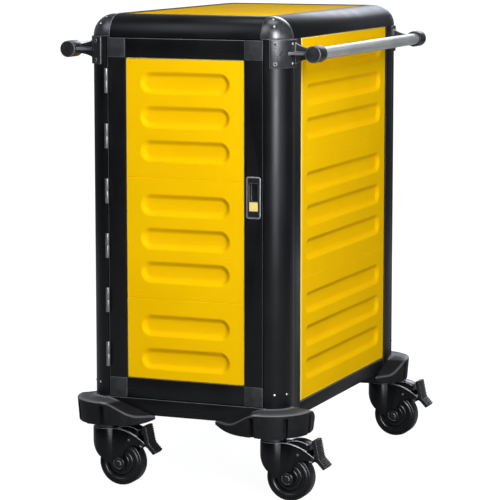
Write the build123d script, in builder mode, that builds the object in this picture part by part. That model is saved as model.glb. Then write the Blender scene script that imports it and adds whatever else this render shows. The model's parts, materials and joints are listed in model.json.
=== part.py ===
# Heated food trolley: an insulated cabinet on four swivel castors, with a framed door at the front,
# a push handle along each side and a heating chamber behind the inner rear wall.
# Millimetres, +Z up. The origin is on the floor under the middle of the cabinet, the door faces -Y.
import os
from math import cos, radians, sin, tan

from build123d import *

os.makedirs("parts", exist_ok=True)

# Cabinet frame
cabinet_width = 484
cabinet_depth = 796
cabinet_height = 1090
corner_radius = 50
frame_bottom = 172
profile_wall = 3
post_flange = 52
rail_lip = 8
base_rail_height = 38
base_rail_depth = 20
side_rail_height = 31

# Pressed sheets
sheet = 1.5
panel_setback = 2
recess_height = 55
recess_depth = 8
recess_slope = 40
recess_pitch = 77
recess_margin = 34
module_height = 277.5
module_lap = 5.5
seam_width = 1.6
seam_depth = 0.5

# Clearances
fit_gap = 0.2
running_fit = 0.05
moving_gap = 0.3

# Insulated inside, for containers of 325 by 530
side_wall = 72
floor_rise = 16
roof_drop = 18
rear_space = 191
chamber_depth = 55
rear_insulation = 36
runner_depth = 14
runner_height = 11
runner_inset = 25
runner_first = 66
vent_length = 64
vent_height = 8
vent_rows = 3
vent_columns = 3
vent_pitch = 18
heater_radius = 4
heater_runs = 6
heater_pitch = 44
heater_low = 70
heater_run_length = 420
heater_tail = 12

# Door
door_side_gap = 2.2
door_end_gap = 2.5
door_frame_width = 44
door_frame_depth = 25
door_frame_wall = 2.5
door_panel_setback = 2.5
liner_edge = 6
plug_depth = 18
plug_gap = 10
gasket_depth = 5
gasket_width = 15
surround_depth = 3

# Hinges
hinge_count = 6
hinge_end = 97.5
hinge_length = 56
barrel_radius = 4.5
hinge_pin_radius = 2.3
leaf_width = 20

# Latch
latch_height = 687
bezel_width = 34
bezel_height = 94
bezel_rim = 3
bezel_proud = 1.5
latch_depth = 17
finger_width = 21
finger_height = 42
finger_depth = 14
button_size = 20
button_depth = 7
button_travel = 4
button_drop = 20
bolt_height = 12
bolt_depth = 4.6
bolt_length = 32
bolt_reach = 0.8
bolt_guide = 3
strike_width = 20
strike_height = 30

# Handles
handle_reach = 58
handle_drop = 32
handle_inset = 20
tube_radius = 14
tube_wall = 2
sleeve_radius = 19
sleeve_length = 40
end_cap_depth = 4
saddle_wall = 4
saddle_height = 63
saddle_start = 15
saddle_flat = 18
arm_thickness = 6
arm_width = 34
web_thickness = 7
web_offset = 14
web_root_height = 54
web_tip_height = 24

# Screws and rivets
screw_radius = 3.4
screw_head = 1.6
screw_rise = 22
cap_screw_radius = 2.4
cap_screw_head = 0.9
rivet_radius = 2.6
rivet_head = 1.1
rivet_height = 241
front_fastener_angle = 29
side_fastener_angle = 79
side_rivet_angle = 65

# Corner bumpers
bumper_reach = 45
bumper_bottom = 148
collar_top = 209
rim_drop = 7
rim_round = 2.5
wall_lean = 0.9
wing_run = 117
wing_lap = 0.03
wing_step = 0.3
wing_fall = 38
wing_sections = 6
wing_tip_share = 0.06
wing_tip_rise = 16
rim_sweep = 0.7
bumper_foot = 80
groove_width = 12
groove_depth = 8
groove_height = 46
groove_spread = 98

# Castors, trailing towards +X
castor_inset_x = 33
castor_inset_y = 24
castor_trail = 42
wheel_radius = 53.5
tyre_width = 36
tyre_round = 5
hub_radius = 33
hub_width = 30
hub_boss_radius = 12
axle_radius = 5
axle_head_radius = 8
axle_head_depth = 5
fork_half_width = 22
fork_wall = 3
fork_head_radius = 32
fork_top = 134
fork_shoulder = 24
fork_boss = 17
arch_height = 94
crown_wall = 5
hood_rise = 7
hood_start = 34
king_pin_radius = 8
swivel_radius = 28
castor_plate_size = 72
castor_plate_depth = 5
pedal_pivot_x = 97
pedal_pivot_z = 100
pedal_pin_radius = 4
pedal_barrel_radius = 7
pedal_width = 40
pedal_plate = 10
pedal_back = 5
pedal_rise = 44
pedal_knee = 14
pedal_reach = 32
pedal_drop = 19

# Controls on the rear panel
control_width = 240
control_height = 124
control_drop = 135
control_proud = 3
control_box_depth = 52
control_box_wall = 2
knob_radius = 20
knob_depth = 16
knob_shaft_radius = 3
knob_x = 70
switch_x = 5
switch_width = 13
switch_radius = 11
switch_sink = 6
switch_angle = 8
inlet_x = -70
inlet_size = 48
inlet_proud = 2
inlet_body_width = 32
inlet_body_height = 26
inlet_body_depth = 24
inlet_wall = 2
pin_radius = 1.8
pin_pitch = 7
pin_length = 14

# Places worked out from the sizes above
side_x = cabinet_width / 2
rear_y = cabinet_depth / 2
front_y = -rear_y
post_x = side_x - corner_radius
post_y = rear_y - corner_radius
flange_y = post_y - post_flange
rail_z = cabinet_height - corner_radius
base_top = frame_bottom + base_rail_height
side_rail_bottom = base_top - side_rail_height
lip_x = post_x - rail_lip
lip_y = post_y - rail_lip
door_half = post_x - door_side_gap
door_bottom = base_top + door_end_gap
door_top = rail_z - door_end_gap
door_inner_half = door_half - door_frame_width
door_inner_bottom = door_bottom + door_frame_width
door_inner_top = door_top - door_frame_width
door_back = front_y + door_frame_depth
gasket_y = door_back + sheet
surround_y = gasket_y + gasket_depth + moving_gap
inner_front = surround_y + surround_depth
inner_x = side_x - side_wall
inner_width = 2 * inner_x
inner_rear = rear_y - rear_space
inner_bottom = base_top + floor_rise
inner_top = rail_z - roof_drop
chamber_rear = inner_rear + sheet + chamber_depth
hinge_x = -(post_x - door_side_gap / 2)
hinge_y = front_y - barrel_radius - moving_gap
latch_x = door_half - door_frame_width / 2
bolt_y = front_y + door_frame_depth - door_frame_wall - moving_gap - bolt_depth / 2
button_z = latch_height - button_drop
handle_x = side_x + handle_reach
handle_height = rail_z - handle_drop
handle_end = rear_y - handle_inset
castor_x = side_x - castor_inset_x
castor_y = rear_y - castor_inset_y
bumper_radius = corner_radius + bumper_reach
control_face = rear_y - panel_setback
control_z = rail_z - control_drop
corner_names = {"front_left": (-1, -1), "front_right": (1, -1), "rear_left": (-1, 1), "rear_right": (1, 1)}


def facing_back(y):
    """Upright plane at y whose sketches are drawn with +Z up and extruded towards +Y."""
    return Plane(origin=(0, y, 0), x_dir=(-1, 0, 0), z_dir=(0, 1, 0))


def facing_front(y, x=0, z=0):
    """Upright plane at y, with +X to the right and +Z up, extruded towards -Y."""
    return Plane(origin=(x, y, z), x_dir=(1, 0, 0), z_dir=(0, -1, 0))


def facing_right(x):
    """Upright plane at x, with +Y to the right and +Z up, extruded towards +X."""
    return Plane(origin=(x, 0, 0), x_dir=(0, 1, 0), z_dir=(1, 0, 0))


def facing_left(x):
    """Upright plane at x, with -Y to the right and +Z up, extruded towards -X."""
    return Plane(origin=(x, 0, 0), x_dir=(0, -1, 0), z_dir=(-1, 0, 0))


def on_post(angle, radius, height):
    """Plane that stands on the round of the front right post, at an angle from the front."""
    outward = (sin(radians(angle)), -cos(radians(angle)), 0)
    place = (post_x + radius * outward[0], -post_y + radius * outward[1], height)
    return Plane(origin=place, z_dir=outward)


def on_cap(angle, rise):
    """Plane that stands on the front right ball corner, at an angle from the front and a rise."""
    outward = (
        cos(radians(rise)) * sin(radians(angle)),
        -cos(radians(rise)) * cos(radians(angle)),
        sin(radians(rise)),
    )
    place = (
        post_x + corner_radius * outward[0],
        -post_y + corner_radius * outward[1],
        rail_z + corner_radius * outward[2],
    )
    return Plane(origin=place, z_dir=outward)


def module_rows(start, low, high):
    """Heights of the recesses of the modules stacked from start that fit between low and high."""
    room = recess_height / 2 + sheet
    rows = []
    for module in range(-4, 5):
        for row in (-1, 0, 1):
            centre = start + (module + 0.5) * module_height + row * recess_pitch
            if low + room < centre < high - room:
                rows.append(centre)
    return rows


def module_seams(start, low, high):
    """Heights of the seams between the modules stacked from start."""
    seams = [start + module * module_height for module in range(-4, 5)]
    return [seam for seam in seams if low + recess_height < seam < high - recess_height]


def pressed_sheet(plane, width, low, high, rows, seams):
    """Sheet with stadium recesses pressed inwards from the plane and a fine seam between modules."""
    length = width - 2 * recess_margin
    with BuildPart() as pressed:
        with BuildSketch(plane):
            with Locations((0, (low + high) / 2)):
                Rectangle(width, high - low)
        extrude(amount=sheet)
        with BuildSketch(plane):
            with Locations(*[(0, row) for row in rows]):
                SlotOverall(length + 2 * sheet, recess_height + 2 * sheet)
        extrude(amount=recess_depth + sheet, taper=recess_slope)
        with BuildSketch(plane):
            with Locations(*[(0, row) for row in rows]):
                SlotOverall(length, recess_height)
        extrude(amount=recess_depth, taper=recess_slope, mode=Mode.SUBTRACT)
        if seams:
            with BuildSketch(plane):
                with Locations(*[(0, seam) for seam in seams]):
                    Rectangle(width, seam_width)
            extrude(amount=seam_depth, mode=Mode.SUBTRACT)
    return pressed


# Corner posts: hollow quarter-round profiles with a flat flange beside the side panel
with BuildPart() as corner_posts:
    with BuildSketch(Plane.XY.offset(frame_bottom)):
        with BuildLine():
            CenterArc((post_x, post_y), corner_radius, 0, 90)
            Polyline((post_x, rear_y), (post_x, flange_y), (side_x, flange_y), (side_x, post_y))
        make_face()
        offset(amount=-profile_wall, kind=Kind.INTERSECTION, mode=Mode.SUBTRACT)
    extrude(amount=rail_z - frame_bottom)
    mirror(about=Plane.YZ)
    mirror(about=Plane.XZ)
    # seat of the strike plate and the hole that the latch bolt points at
    with Locations((post_x, bolt_y, button_z)):
        seat = (2 * (sheet + fit_gap), strike_width + 2 * fit_gap, strike_height + 2 * fit_gap)
        Box(*seat, mode=Mode.SUBTRACT)
        Box(3 * profile_wall, bolt_depth + 2, bolt_height + 2, mode=Mode.SUBTRACT)
corner_posts.part.label = "corner_posts"
export_step(corner_posts.part, "parts/corner_posts.step")

# Top rails: hollow quarter-round profiles between the ball corners
with BuildPart() as top_rails:
    with BuildSketch(facing_right(-lip_x)):
        with BuildLine():
            CenterArc((post_y, rail_z), corner_radius, 0, 90)
            Polyline((post_y, cabinet_height), (lip_y, cabinet_height), (lip_y, rail_z), (rear_y, rail_z))
        make_face()
        offset(amount=-profile_wall, kind=Kind.INTERSECTION, mode=Mode.SUBTRACT)
    extrude(amount=2 * lip_x)
    with BuildSketch(facing_front(lip_y)):
        with BuildLine():
            CenterArc((post_x, rail_z), corner_radius, 0, 90)
            Polyline((post_x, cabinet_height), (lip_x, cabinet_height), (lip_x, rail_z), (side_x, rail_z))
        make_face()
        offset(amount=-profile_wall, kind=Kind.INTERSECTION, mode=Mode.SUBTRACT)
    extrude(amount=2 * lip_y)
    mirror(about=Plane.XZ)
    mirror(about=Plane.YZ)
top_rails.part.label = "top_rails"
export_step(top_rails.part, "parts/top_rails.step")

# Ball corners that join the posts and the top rails
with BuildPart() as corner_caps:
    cap_plane = Plane(origin=(post_x, post_y, rail_z), x_dir=(1, 0, 0), z_dir=(0, -1, 0))
    with BuildSketch(cap_plane) as cap_side:
        with BuildLine():
            CenterArc((0, 0), corner_radius, 0, 90)
            Polyline((0, corner_radius), (0, 0), (corner_radius, 0))
        make_face()
    revolve(axis=Axis((post_x, post_y, rail_z), (0, 0, 1)), revolution_arc=90)
    extrude(cap_side.sketch, amount=rail_lip)
    with BuildSketch(Plane(origin=(lip_x, post_y, rail_z), x_dir=(0, 1, 0), z_dir=(1, 0, 0))):
        with BuildLine():
            CenterArc((0, 0), corner_radius, 0, 90)
            Polyline((0, corner_radius), (-rail_lip, corner_radius), (-rail_lip, 0), (corner_radius, 0))
        make_face()
    extrude(amount=rail_lip)
    mirror(about=Plane.YZ)
    mirror(about=Plane.XZ)
corner_caps.part.label = "corner_caps"
export_step(corner_caps.part, "parts/corner_caps.step")

# Bottom rails under the door, the rear panel and the side panels
with BuildPart() as bottom_rails:
    with BuildSketch(facing_right(fit_gap - post_x)):
        with Locations((rear_y - base_rail_depth / 2, frame_bottom + base_rail_height / 2)):
            Rectangle(base_rail_depth, base_rail_height)
        offset(amount=-profile_wall, kind=Kind.INTERSECTION, mode=Mode.SUBTRACT)
    extrude(amount=2 * (post_x - fit_gap))
    with BuildSketch(facing_front(flange_y - fit_gap)):
        with Locations((side_x - base_rail_depth / 2, base_top - side_rail_height / 2)):
            Rectangle(base_rail_depth, side_rail_height)
        offset(amount=-profile_wall, kind=Kind.INTERSECTION, mode=Mode.SUBTRACT)
    extrude(amount=2 * (flange_y - fit_gap))
    mirror(about=Plane.XZ)
    mirror(about=Plane.YZ)
bottom_rails.part.label = "bottom_rails"
export_step(bottom_rails.part, "parts/bottom_rails.step")

# Base plate that closes the frame from below
with BuildPart() as base_plate:
    with BuildSketch(Plane.XY.offset(side_rail_bottom)):
        Rectangle(2 * (post_x - fit_gap), 2 * (rear_y - base_rail_depth - fit_gap))
        Rectangle(2 * (side_x - base_rail_depth - fit_gap), 2 * (flange_y - fit_gap))
    extrude(amount=sheet)
base_plate.part.label = "base_plate"
export_step(base_plate.part, "parts/base_plate.step")

# Top panel between the top rails
with BuildPart() as top_panel:
    with BuildSketch(Plane.XY.offset(cabinet_height - panel_setback - sheet)):
        Rectangle(2 * (lip_x - fit_gap), 2 * (lip_y - fit_gap))
    extrude(amount=sheet)
top_panel.part.label = "top_panel"
export_step(top_panel.part, "parts/top_panel.step")

# Side panels, pressed in modules counted up from just above the bottom rail
panel_low = base_top + fit_gap
panel_high = rail_z - fit_gap
side_rows = module_rows(base_top + module_lap, panel_low, panel_high)
side_seams = module_seams(base_top + module_lap, panel_low, panel_high)
side_length = 2 * (flange_y - fit_gap)
right_plane = facing_left(side_x - panel_setback)
right_panel = pressed_sheet(right_plane, side_length, panel_low, panel_high, side_rows, side_seams)
right_panel.part.label = "right_panel"
export_step(right_panel.part, "parts/right_panel.step")
left_plane = facing_right(panel_setback - side_x)
left_panel = pressed_sheet(left_plane, side_length, panel_low, panel_high, side_rows, side_seams)
left_panel.part.label = "left_panel"
export_step(left_panel.part, "parts/left_panel.step")

# Rear panel, pressed below the control panel only
rear_width = 2 * (post_x - fit_gap)
rear_plain_low = control_z - control_height / 2 - recess_margin
rear_rows = [row for row in side_rows if row + recess_height / 2 < rear_plain_low]
rear_plane = facing_front(control_face)
rear_sheet = pressed_sheet(rear_plane, rear_width, panel_low, panel_high, rear_rows, side_seams)
with BuildPart() as rear_panel:
    add(rear_sheet.part)
    with BuildSketch(facing_front(control_face)):
        with Locations((0, control_z)):
            Rectangle(control_width - 4 * control_box_wall, control_height - 4 * control_box_wall)
    extrude(amount=sheet, mode=Mode.SUBTRACT)
rear_panel.part.label = "rear_panel"
export_step(rear_panel.part, "parts/rear_panel.step")

# Front surround: the frame that the door gasket closes on
with BuildPart() as door_surround:
    with BuildSketch(facing_back(surround_y)):
        with Locations((0, (panel_low + panel_high) / 2)):
            Rectangle(2 * (post_x - fit_gap), panel_high - panel_low)
        with Locations((0, (inner_bottom + inner_top) / 2)):
            Rectangle(inner_width, inner_top - inner_bottom, mode=Mode.SUBTRACT)
    extrude(amount=surround_depth)
door_surround.part.label = "door_surround"
export_step(door_surround.part, "parts/door_surround.step")

# Inner walls of the heated space
with BuildPart() as inner_side_walls:
    with BuildSketch(Plane.XY.offset(inner_bottom)):
        with Locations((0, (inner_front + chamber_rear) / 2)):
            with Locations((inner_x + sheet / 2, 0), (-inner_x - sheet / 2, 0)):
                Rectangle(sheet, chamber_rear - inner_front)
    extrude(amount=inner_top - inner_bottom)
inner_side_walls.part.label = "inner_side_walls"
export_step(inner_side_walls.part, "parts/inner_side_walls.step")

with BuildPart() as inner_floor:
    with BuildSketch(Plane.XY.offset(inner_bottom - sheet)):
        with Locations((0, (inner_front + chamber_rear) / 2)):
            Rectangle(inner_width + 2 * sheet, chamber_rear - inner_front)
    extrude(amount=sheet)
inner_floor.part.label = "inner_floor"
export_step(inner_floor.part, "parts/inner_floor.step")

with BuildPart() as inner_ceiling:
    with BuildSketch(Plane.XY.offset(inner_top)):
        with Locations((0, (inner_front + chamber_rear) / 2)):
            Rectangle(inner_width + 2 * sheet, chamber_rear - inner_front)
    extrude(amount=sheet)
inner_ceiling.part.label = "inner_ceiling"
export_step(inner_ceiling.part, "parts/inner_ceiling.step")

# Vented inner rear wall, and the plate behind the heating chamber
vent_inset = vent_rows * vent_pitch
heater_first_x = -(heater_runs - 1) * heater_pitch / 2
heater_base = inner_bottom + heater_low
with BuildPart() as inner_rear_wall:
    with BuildSketch(facing_back(inner_rear)):
        with Locations((0, (inner_bottom + inner_top) / 2)):
            Rectangle(inner_width - 2 * fit_gap, inner_top - inner_bottom - 2 * fit_gap)
        with Locations((0, inner_bottom + vent_inset), (0, inner_top - vent_inset)):
            with GridLocations(vent_length + vent_pitch, vent_pitch, vent_columns, vent_rows):
                SlotOverall(vent_length, vent_height, mode=Mode.SUBTRACT)
    extrude(amount=sheet)
    with BuildSketch(facing_back(chamber_rear)):
        with Locations((0, (inner_bottom + inner_top) / 2)):
            Rectangle(inner_width + 2 * sheet, inner_top - inner_bottom + 2 * sheet)
        with Locations((heater_first_x, heater_base), (-heater_first_x, heater_base)):
            Circle(heater_radius + moving_gap, mode=Mode.SUBTRACT)
    extrude(amount=sheet)
inner_rear_wall.part.label = "inner_rear_wall"
export_step(inner_rear_wall.part, "parts/inner_rear_wall.step")

# Heating element: one bent tube whose two ends pass through the chamber's back plate
heater_y = (inner_rear + sheet + chamber_rear) / 2
heater_head = heater_base + heater_run_length
heater_end_y = chamber_rear + sheet + heater_tail
heater_route = [(heater_first_x, heater_end_y, heater_base), (heater_first_x, heater_y, heater_base)]
for run in range(heater_runs):
    run_x = heater_first_x + run * heater_pitch
    low_end = (run_x, heater_y, heater_base + (heater_pitch if 0 < run < heater_runs - 1 else 0))
    high_end = (run_x, heater_y, heater_head)
    ends = [low_end, high_end] if run % 2 == 0 else [high_end, low_end]
    heater_route += ends[1:] if run == 0 else ends
heater_route.append((-heater_first_x, heater_end_y, heater_base))
with BuildPart() as heating_element:
    with BuildLine() as heater_path:
        FilletPolyline(*heater_route, radius=heater_pitch / 2 - 2 * heater_radius)
    with BuildSketch(facing_front(heater_end_y, heater_first_x)):
        with Locations((0, heater_base)):
            Circle(heater_radius)
    sweep(path=heater_path.wire())
heating_element.part.label = "heating_element"
export_step(heating_element.part, "parts/heating_element.step")

# Insulation slabs: two sides, top, bottom and rear
slab_inner_x = inner_x + sheet + fit_gap
slab_outer_x = side_x - panel_setback - recess_depth - 2 * sheet - fit_gap
slab_rear_low = chamber_rear + sheet + fit_gap
roof_low = inner_top + sheet + fit_gap
roof_high = cabinet_height - panel_setback - sheet - fit_gap
floor_low = side_rail_bottom + sheet + fit_gap
floor_high = inner_bottom - sheet - fit_gap
with BuildPart() as wall_insulation:
    with BuildSketch(Plane.XY.offset(panel_low)):
        for side in (-1, 1):
            with Locations((side * (slab_inner_x + slab_outer_x) / 2, 0)):
                Rectangle(slab_outer_x - slab_inner_x, 2 * (flange_y - fit_gap))
    extrude(amount=inner_top - panel_low)
    with BuildSketch(Plane.XY.offset(roof_low)):
        Rectangle(2 * (lip_x - fit_gap), 2 * (lip_y - fit_gap))
    extrude(amount=roof_high - roof_low)
    with BuildSketch(Plane.XY.offset(floor_low)):
        with Locations((0, (inner_front + chamber_rear) / 2)):
            Rectangle(inner_width, chamber_rear - inner_front)
    extrude(amount=floor_high - floor_low)
    with BuildSketch(facing_back(slab_rear_low)):
        with Locations((0, (inner_bottom + inner_top) / 2)):
            Rectangle(inner_width, inner_top - inner_bottom)
        with Locations((heater_first_x, heater_base), (-heater_first_x, heater_base)):
            Circle(2 * heater_radius, mode=Mode.SUBTRACT)
    extrude(amount=rear_insulation)
wall_insulation.part.label = "wall_insulation"
export_step(wall_insulation.part, "parts/wall_insulation.step")

# Shelf runners on both inner side walls
runner_y = (inner_front + inner_rear) / 2
runner_length = inner_rear - inner_front - 2 * runner_inset
runner_levels = int((inner_top - inner_bottom - runner_first) / recess_pitch)
with BuildPart() as shelf_runners:
    for level in range(runner_levels):
        runner_z = inner_bottom + runner_first + level * recess_pitch
        for side in (-1, 1):
            with Locations((side * (inner_x - runner_depth / 2), runner_y, runner_z)):
                Box(runner_depth, runner_length, runner_height)
    chamfer(shelf_runners.edges().filter_by(Axis.Z), length=runner_depth / 3)
shelf_runners.part.label = "shelf_runners"
export_step(shelf_runners.part, "parts/shelf_runners.step")

# Door frame: two stiles, two rails and a square block in each corner
door_mid_z = (door_bottom + door_top) / 2
stile_centre = door_half - door_frame_width / 2
frame_mid_y = front_y + door_frame_depth / 2
core_width = door_frame_width - 2 * door_frame_wall
core_depth = door_frame_depth - 2 * door_frame_wall
with BuildPart() as door_hinge_stile:
    with BuildSketch(Plane.XY.offset(door_inner_bottom)):
        with Locations((-stile_centre, frame_mid_y)):
            Rectangle(door_frame_width, door_frame_depth)
            Rectangle(core_width, core_depth, mode=Mode.SUBTRACT)
    extrude(amount=door_inner_top - door_inner_bottom)
door_hinge_stile.part.label = "door_hinge_stile"
export_step(door_hinge_stile.part, "parts/door_hinge_stile.step")

pocket_width = bezel_width - 2 * bezel_rim
pocket_height = bezel_height - 2 * bezel_rim
with BuildPart() as door_latch_stile:
    with BuildSketch(Plane.XY.offset(door_inner_bottom)):
        with Locations((stile_centre, frame_mid_y)):
            Rectangle(door_frame_width, door_frame_depth)
            Rectangle(core_width, core_depth, mode=Mode.SUBTRACT)
    extrude(amount=door_inner_top - door_inner_bottom)
    with BuildSketch(facing_back(front_y)):
        with Locations((-latch_x, latch_height)):
            RectangleRounded(pocket_width + 2 * fit_gap, pocket_height + 2 * fit_gap, bezel_rim)
    extrude(amount=door_frame_depth / 2, mode=Mode.SUBTRACT)
    with Locations((door_half, bolt_y, button_z)):
        bolt_way = (3 * door_frame_wall, bolt_depth + 2 * moving_gap, bolt_height + 2 * moving_gap)
        Box(*bolt_way, mode=Mode.SUBTRACT)
door_latch_stile.part.label = "door_latch_stile"
export_step(door_latch_stile.part, "parts/door_latch_stile.step")

with BuildPart() as door_rails:
    with BuildSketch(facing_right(-door_inner_half)):
        rail_half = door_frame_width / 2
        with Locations((frame_mid_y, door_bottom + rail_half), (frame_mid_y, door_top - rail_half)):
            Rectangle(door_frame_depth, door_frame_width)
            Rectangle(core_depth, core_width, mode=Mode.SUBTRACT)
    extrude(amount=2 * door_inner_half)
door_rails.part.label = "door_rails"
export_step(door_rails.part, "parts/door_rails.step")

with BuildPart() as door_corner_blocks:
    with BuildSketch(facing_back(front_y)):
        with Locations((0, door_mid_z)):
            with GridLocations(2 * stile_centre, door_top - door_bottom - door_frame_width, 2, 2):
                Rectangle(door_frame_width, door_frame_width)
    extrude(amount=door_frame_depth)
door_corner_blocks.part.label = "door_corner_blocks"
export_step(door_corner_blocks.part, "parts/door_corner_blocks.step")

# Door panel, pressed in modules counted down from behind the top rail of the door
door_low = door_inner_bottom + fit_gap
door_high = door_inner_top - fit_gap
door_rows = module_rows(door_inner_top + module_lap, door_low, door_high)
door_seams = module_seams(door_inner_top + module_lap, door_low, door_high)
door_plane = facing_back(front_y + door_panel_setback)
door_panel_width = 2 * (door_inner_half - fit_gap)
door_panel = pressed_sheet(door_plane, door_panel_width, door_low, door_high, door_rows, door_seams)
door_panel.part.label = "door_panel"
export_step(door_panel.part, "parts/door_panel.step")

# Door liner: a flange over the back of the frame and a pan that plugs the opening
plug_x = inner_x - plug_gap
plug_low = inner_bottom + plug_gap
plug_high = inner_top - plug_gap
with BuildPart() as door_liner:
    with BuildSketch(facing_back(door_back)):
        with Locations((0, door_mid_z)):
            Rectangle(2 * (door_half - liner_edge), door_top - door_bottom - 2 * liner_edge)
    extrude(amount=sheet)
    with BuildSketch(facing_back(door_back)):
        with Locations((0, (plug_low + plug_high) / 2)):
            RectangleRounded(2 * plug_x, plug_high - plug_low, plug_gap)
    extrude(amount=sheet + plug_depth)
    with BuildSketch(facing_back(door_back)):
        with Locations((0, (plug_low + plug_high) / 2)):
            RectangleRounded(2 * (plug_x - sheet), plug_high - plug_low - 2 * sheet, plug_gap - sheet)
    extrude(amount=plug_depth, mode=Mode.SUBTRACT)
door_liner.part.label = "door_liner"
export_step(door_liner.part, "parts/door_liner.step")

# Door insulation, from behind the recesses to the bottom of the pan
core_front = front_y + door_panel_setback + recess_depth + sheet + fit_gap
core_rear = door_back + plug_depth - fit_gap
core_half = min(door_inner_half, plug_x - sheet) - fit_gap
core_low = max(door_low, plug_low + sheet + fit_gap)
core_high = min(door_high, plug_high - sheet - fit_gap)
with BuildPart() as door_insulation:
    with BuildSketch(facing_back(core_front)):
        with Locations((0, (core_low + core_high) / 2)):
            Rectangle(2 * core_half, core_high - core_low)
    extrude(amount=core_rear - core_front)
door_insulation.part.label = "door_insulation"
export_step(door_insulation.part, "parts/door_insulation.step")

# Door gasket round the pan
with BuildPart() as door_gasket:
    with BuildSketch(facing_back(gasket_y)):
        with Locations((0, (plug_low + plug_high) / 2)):
            Rectangle(2 * (plug_x + gasket_width), plug_high - plug_low + 2 * gasket_width)
            Rectangle(2 * (plug_x + fit_gap), plug_high - plug_low + 2 * fit_gap, mode=Mode.SUBTRACT)
    extrude(amount=gasket_depth)
door_gasket.part.label = "door_gasket"
export_step(door_gasket.part, "parts/door_gasket.step")

# Hinges: a lower knuckle on the post, an upper knuckle on the door, and a pin through both
hinge_pitch = (door_top - door_bottom - 2 * hinge_end) / (hinge_count - 1)
hinge_heights = [door_bottom + hinge_end + step * hinge_pitch for step in range(hinge_count)]
knuckle_height = hinge_length / 2 - moving_gap / 2
leaf_depth = front_y + leaf_width - hinge_y
leaf_thickness = door_side_gap / 2
with BuildPart() as hinge_post_knuckles:
    for height in hinge_heights:
        with BuildSketch(Plane.XY.offset(height - hinge_length / 2)):
            with Locations((hinge_x, hinge_y)):
                Circle(barrel_radius)
                Rectangle(leaf_thickness, leaf_depth, align=(Align.MAX, Align.MIN))
                Circle(hinge_pin_radius + running_fit, mode=Mode.SUBTRACT)
        extrude(amount=knuckle_height)
hinge_post_knuckles.part.label = "hinge_post_knuckles"
export_step(hinge_post_knuckles.part, "parts/hinge_post_knuckles.step")

with BuildPart() as hinge_door_knuckles:
    for height in hinge_heights:
        with BuildSketch(Plane.XY.offset(height + moving_gap / 2)):
            with Locations((hinge_x, hinge_y)):
                Circle(barrel_radius)
                Rectangle(leaf_thickness, leaf_depth, align=(Align.MIN, Align.MIN))
                Circle(hinge_pin_radius + running_fit, mode=Mode.SUBTRACT)
        extrude(amount=knuckle_height)
hinge_door_knuckles.part.label = "hinge_door_knuckles"
export_step(hinge_door_knuckles.part, "parts/hinge_door_knuckles.step")

with BuildPart() as hinge_pins:
    with Locations(*[(hinge_x, hinge_y, height) for height in hinge_heights]):
        Cylinder(hinge_pin_radius, hinge_length)
hinge_pins.part.label = "hinge_pins"
export_step(hinge_pins.part, "parts/hinge_pins.step")

# Latch: a bezel on the stile, a housing with the finger recess, a push button and a bolt
finger_z = button_z + button_size / 2 + 2 * moving_gap + finger_height / 2
housing_back = front_y + latch_depth
with BuildPart() as latch_bezel:
    with BuildSketch(facing_front(front_y)):
        with Locations((latch_x, latch_height)):
            RectangleRounded(bezel_width, bezel_height, 2 * bezel_rim)
            RectangleRounded(pocket_width, pocket_height, bezel_rim, mode=Mode.SUBTRACT)
    extrude(amount=bezel_proud)
latch_bezel.part.label = "latch_bezel"
export_step(latch_bezel.part, "parts/latch_bezel.step")

with BuildPart() as latch_housing:
    with BuildSketch(facing_back(front_y)):
        with Locations((-latch_x, latch_height)):
            RectangleRounded(pocket_width, pocket_height, bezel_rim)
    extrude(amount=latch_depth)
    with BuildSketch(facing_back(front_y)):
        with Locations((-latch_x, finger_z)):
            RectangleRounded(finger_width, finger_height, bezel_rim)
    extrude(amount=finger_depth, mode=Mode.SUBTRACT)
    with BuildSketch(facing_back(front_y)):
        with Locations((-latch_x, button_z)):
            Rectangle(button_size + 2 * moving_gap, button_size + 2 * moving_gap)
    extrude(amount=latch_depth - sheet, mode=Mode.SUBTRACT)
    # guides above and below the bolt
    with BuildSketch(facing_back(housing_back)):
        for side in (-1, 1):
            with Locations((-latch_x, button_z + side * (bolt_height / 2 + moving_gap + bolt_guide / 2))):
                Rectangle(pocket_width, bolt_guide)
    extrude(amount=door_back - door_frame_wall - fit_gap - housing_back)
latch_housing.part.label = "latch_housing"
export_step(latch_housing.part, "parts/latch_housing.step")

with BuildPart() as latch_button:
    with BuildSketch(facing_back(front_y - bezel_proud / 2)):
        with Locations((-latch_x, button_z)):
            RectangleRounded(button_size, button_size, 1.5)
    extrude(amount=button_depth)
    chamfer(latch_button.faces().sort_by(Axis.Y)[0].edges(), length=0.6)
latch_button.part.label = "latch_button"
export_step(latch_button.part, "parts/latch_button.step")

with BuildPart() as latch_bolt:
    with Locations((door_half + bolt_reach - bolt_length / 2, bolt_y, button_z)):
        Box(bolt_length, bolt_depth, bolt_height)
latch_bolt.part.label = "latch_bolt"
export_step(latch_bolt.part, "parts/latch_bolt.step")

with BuildPart() as strike_plate:
    with Locations((post_x + sheet / 2, bolt_y, button_z)):
        Box(sheet, strike_width, strike_height)
        Box(sheet, bolt_depth + 2, bolt_height + 2, mode=Mode.SUBTRACT)
strike_plate.part.label = "strike_plate"
export_step(strike_plate.part, "parts/strike_plate.step")

# Push handles: tubes held in the sleeves of four brackets that are saddled on the posts
with BuildPart() as handle_tubes:
    with BuildSketch(facing_back(end_cap_depth - handle_end)):
        with Locations((-handle_x, handle_height), (handle_x, handle_height)):
            Circle(tube_radius)
            Circle(tube_radius - tube_wall, mode=Mode.SUBTRACT)
    extrude(amount=2 * (handle_end - end_cap_depth))
handle_tubes.part.label = "handle_tubes"
export_step(handle_tubes.part, "parts/handle_tubes.step")

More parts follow.
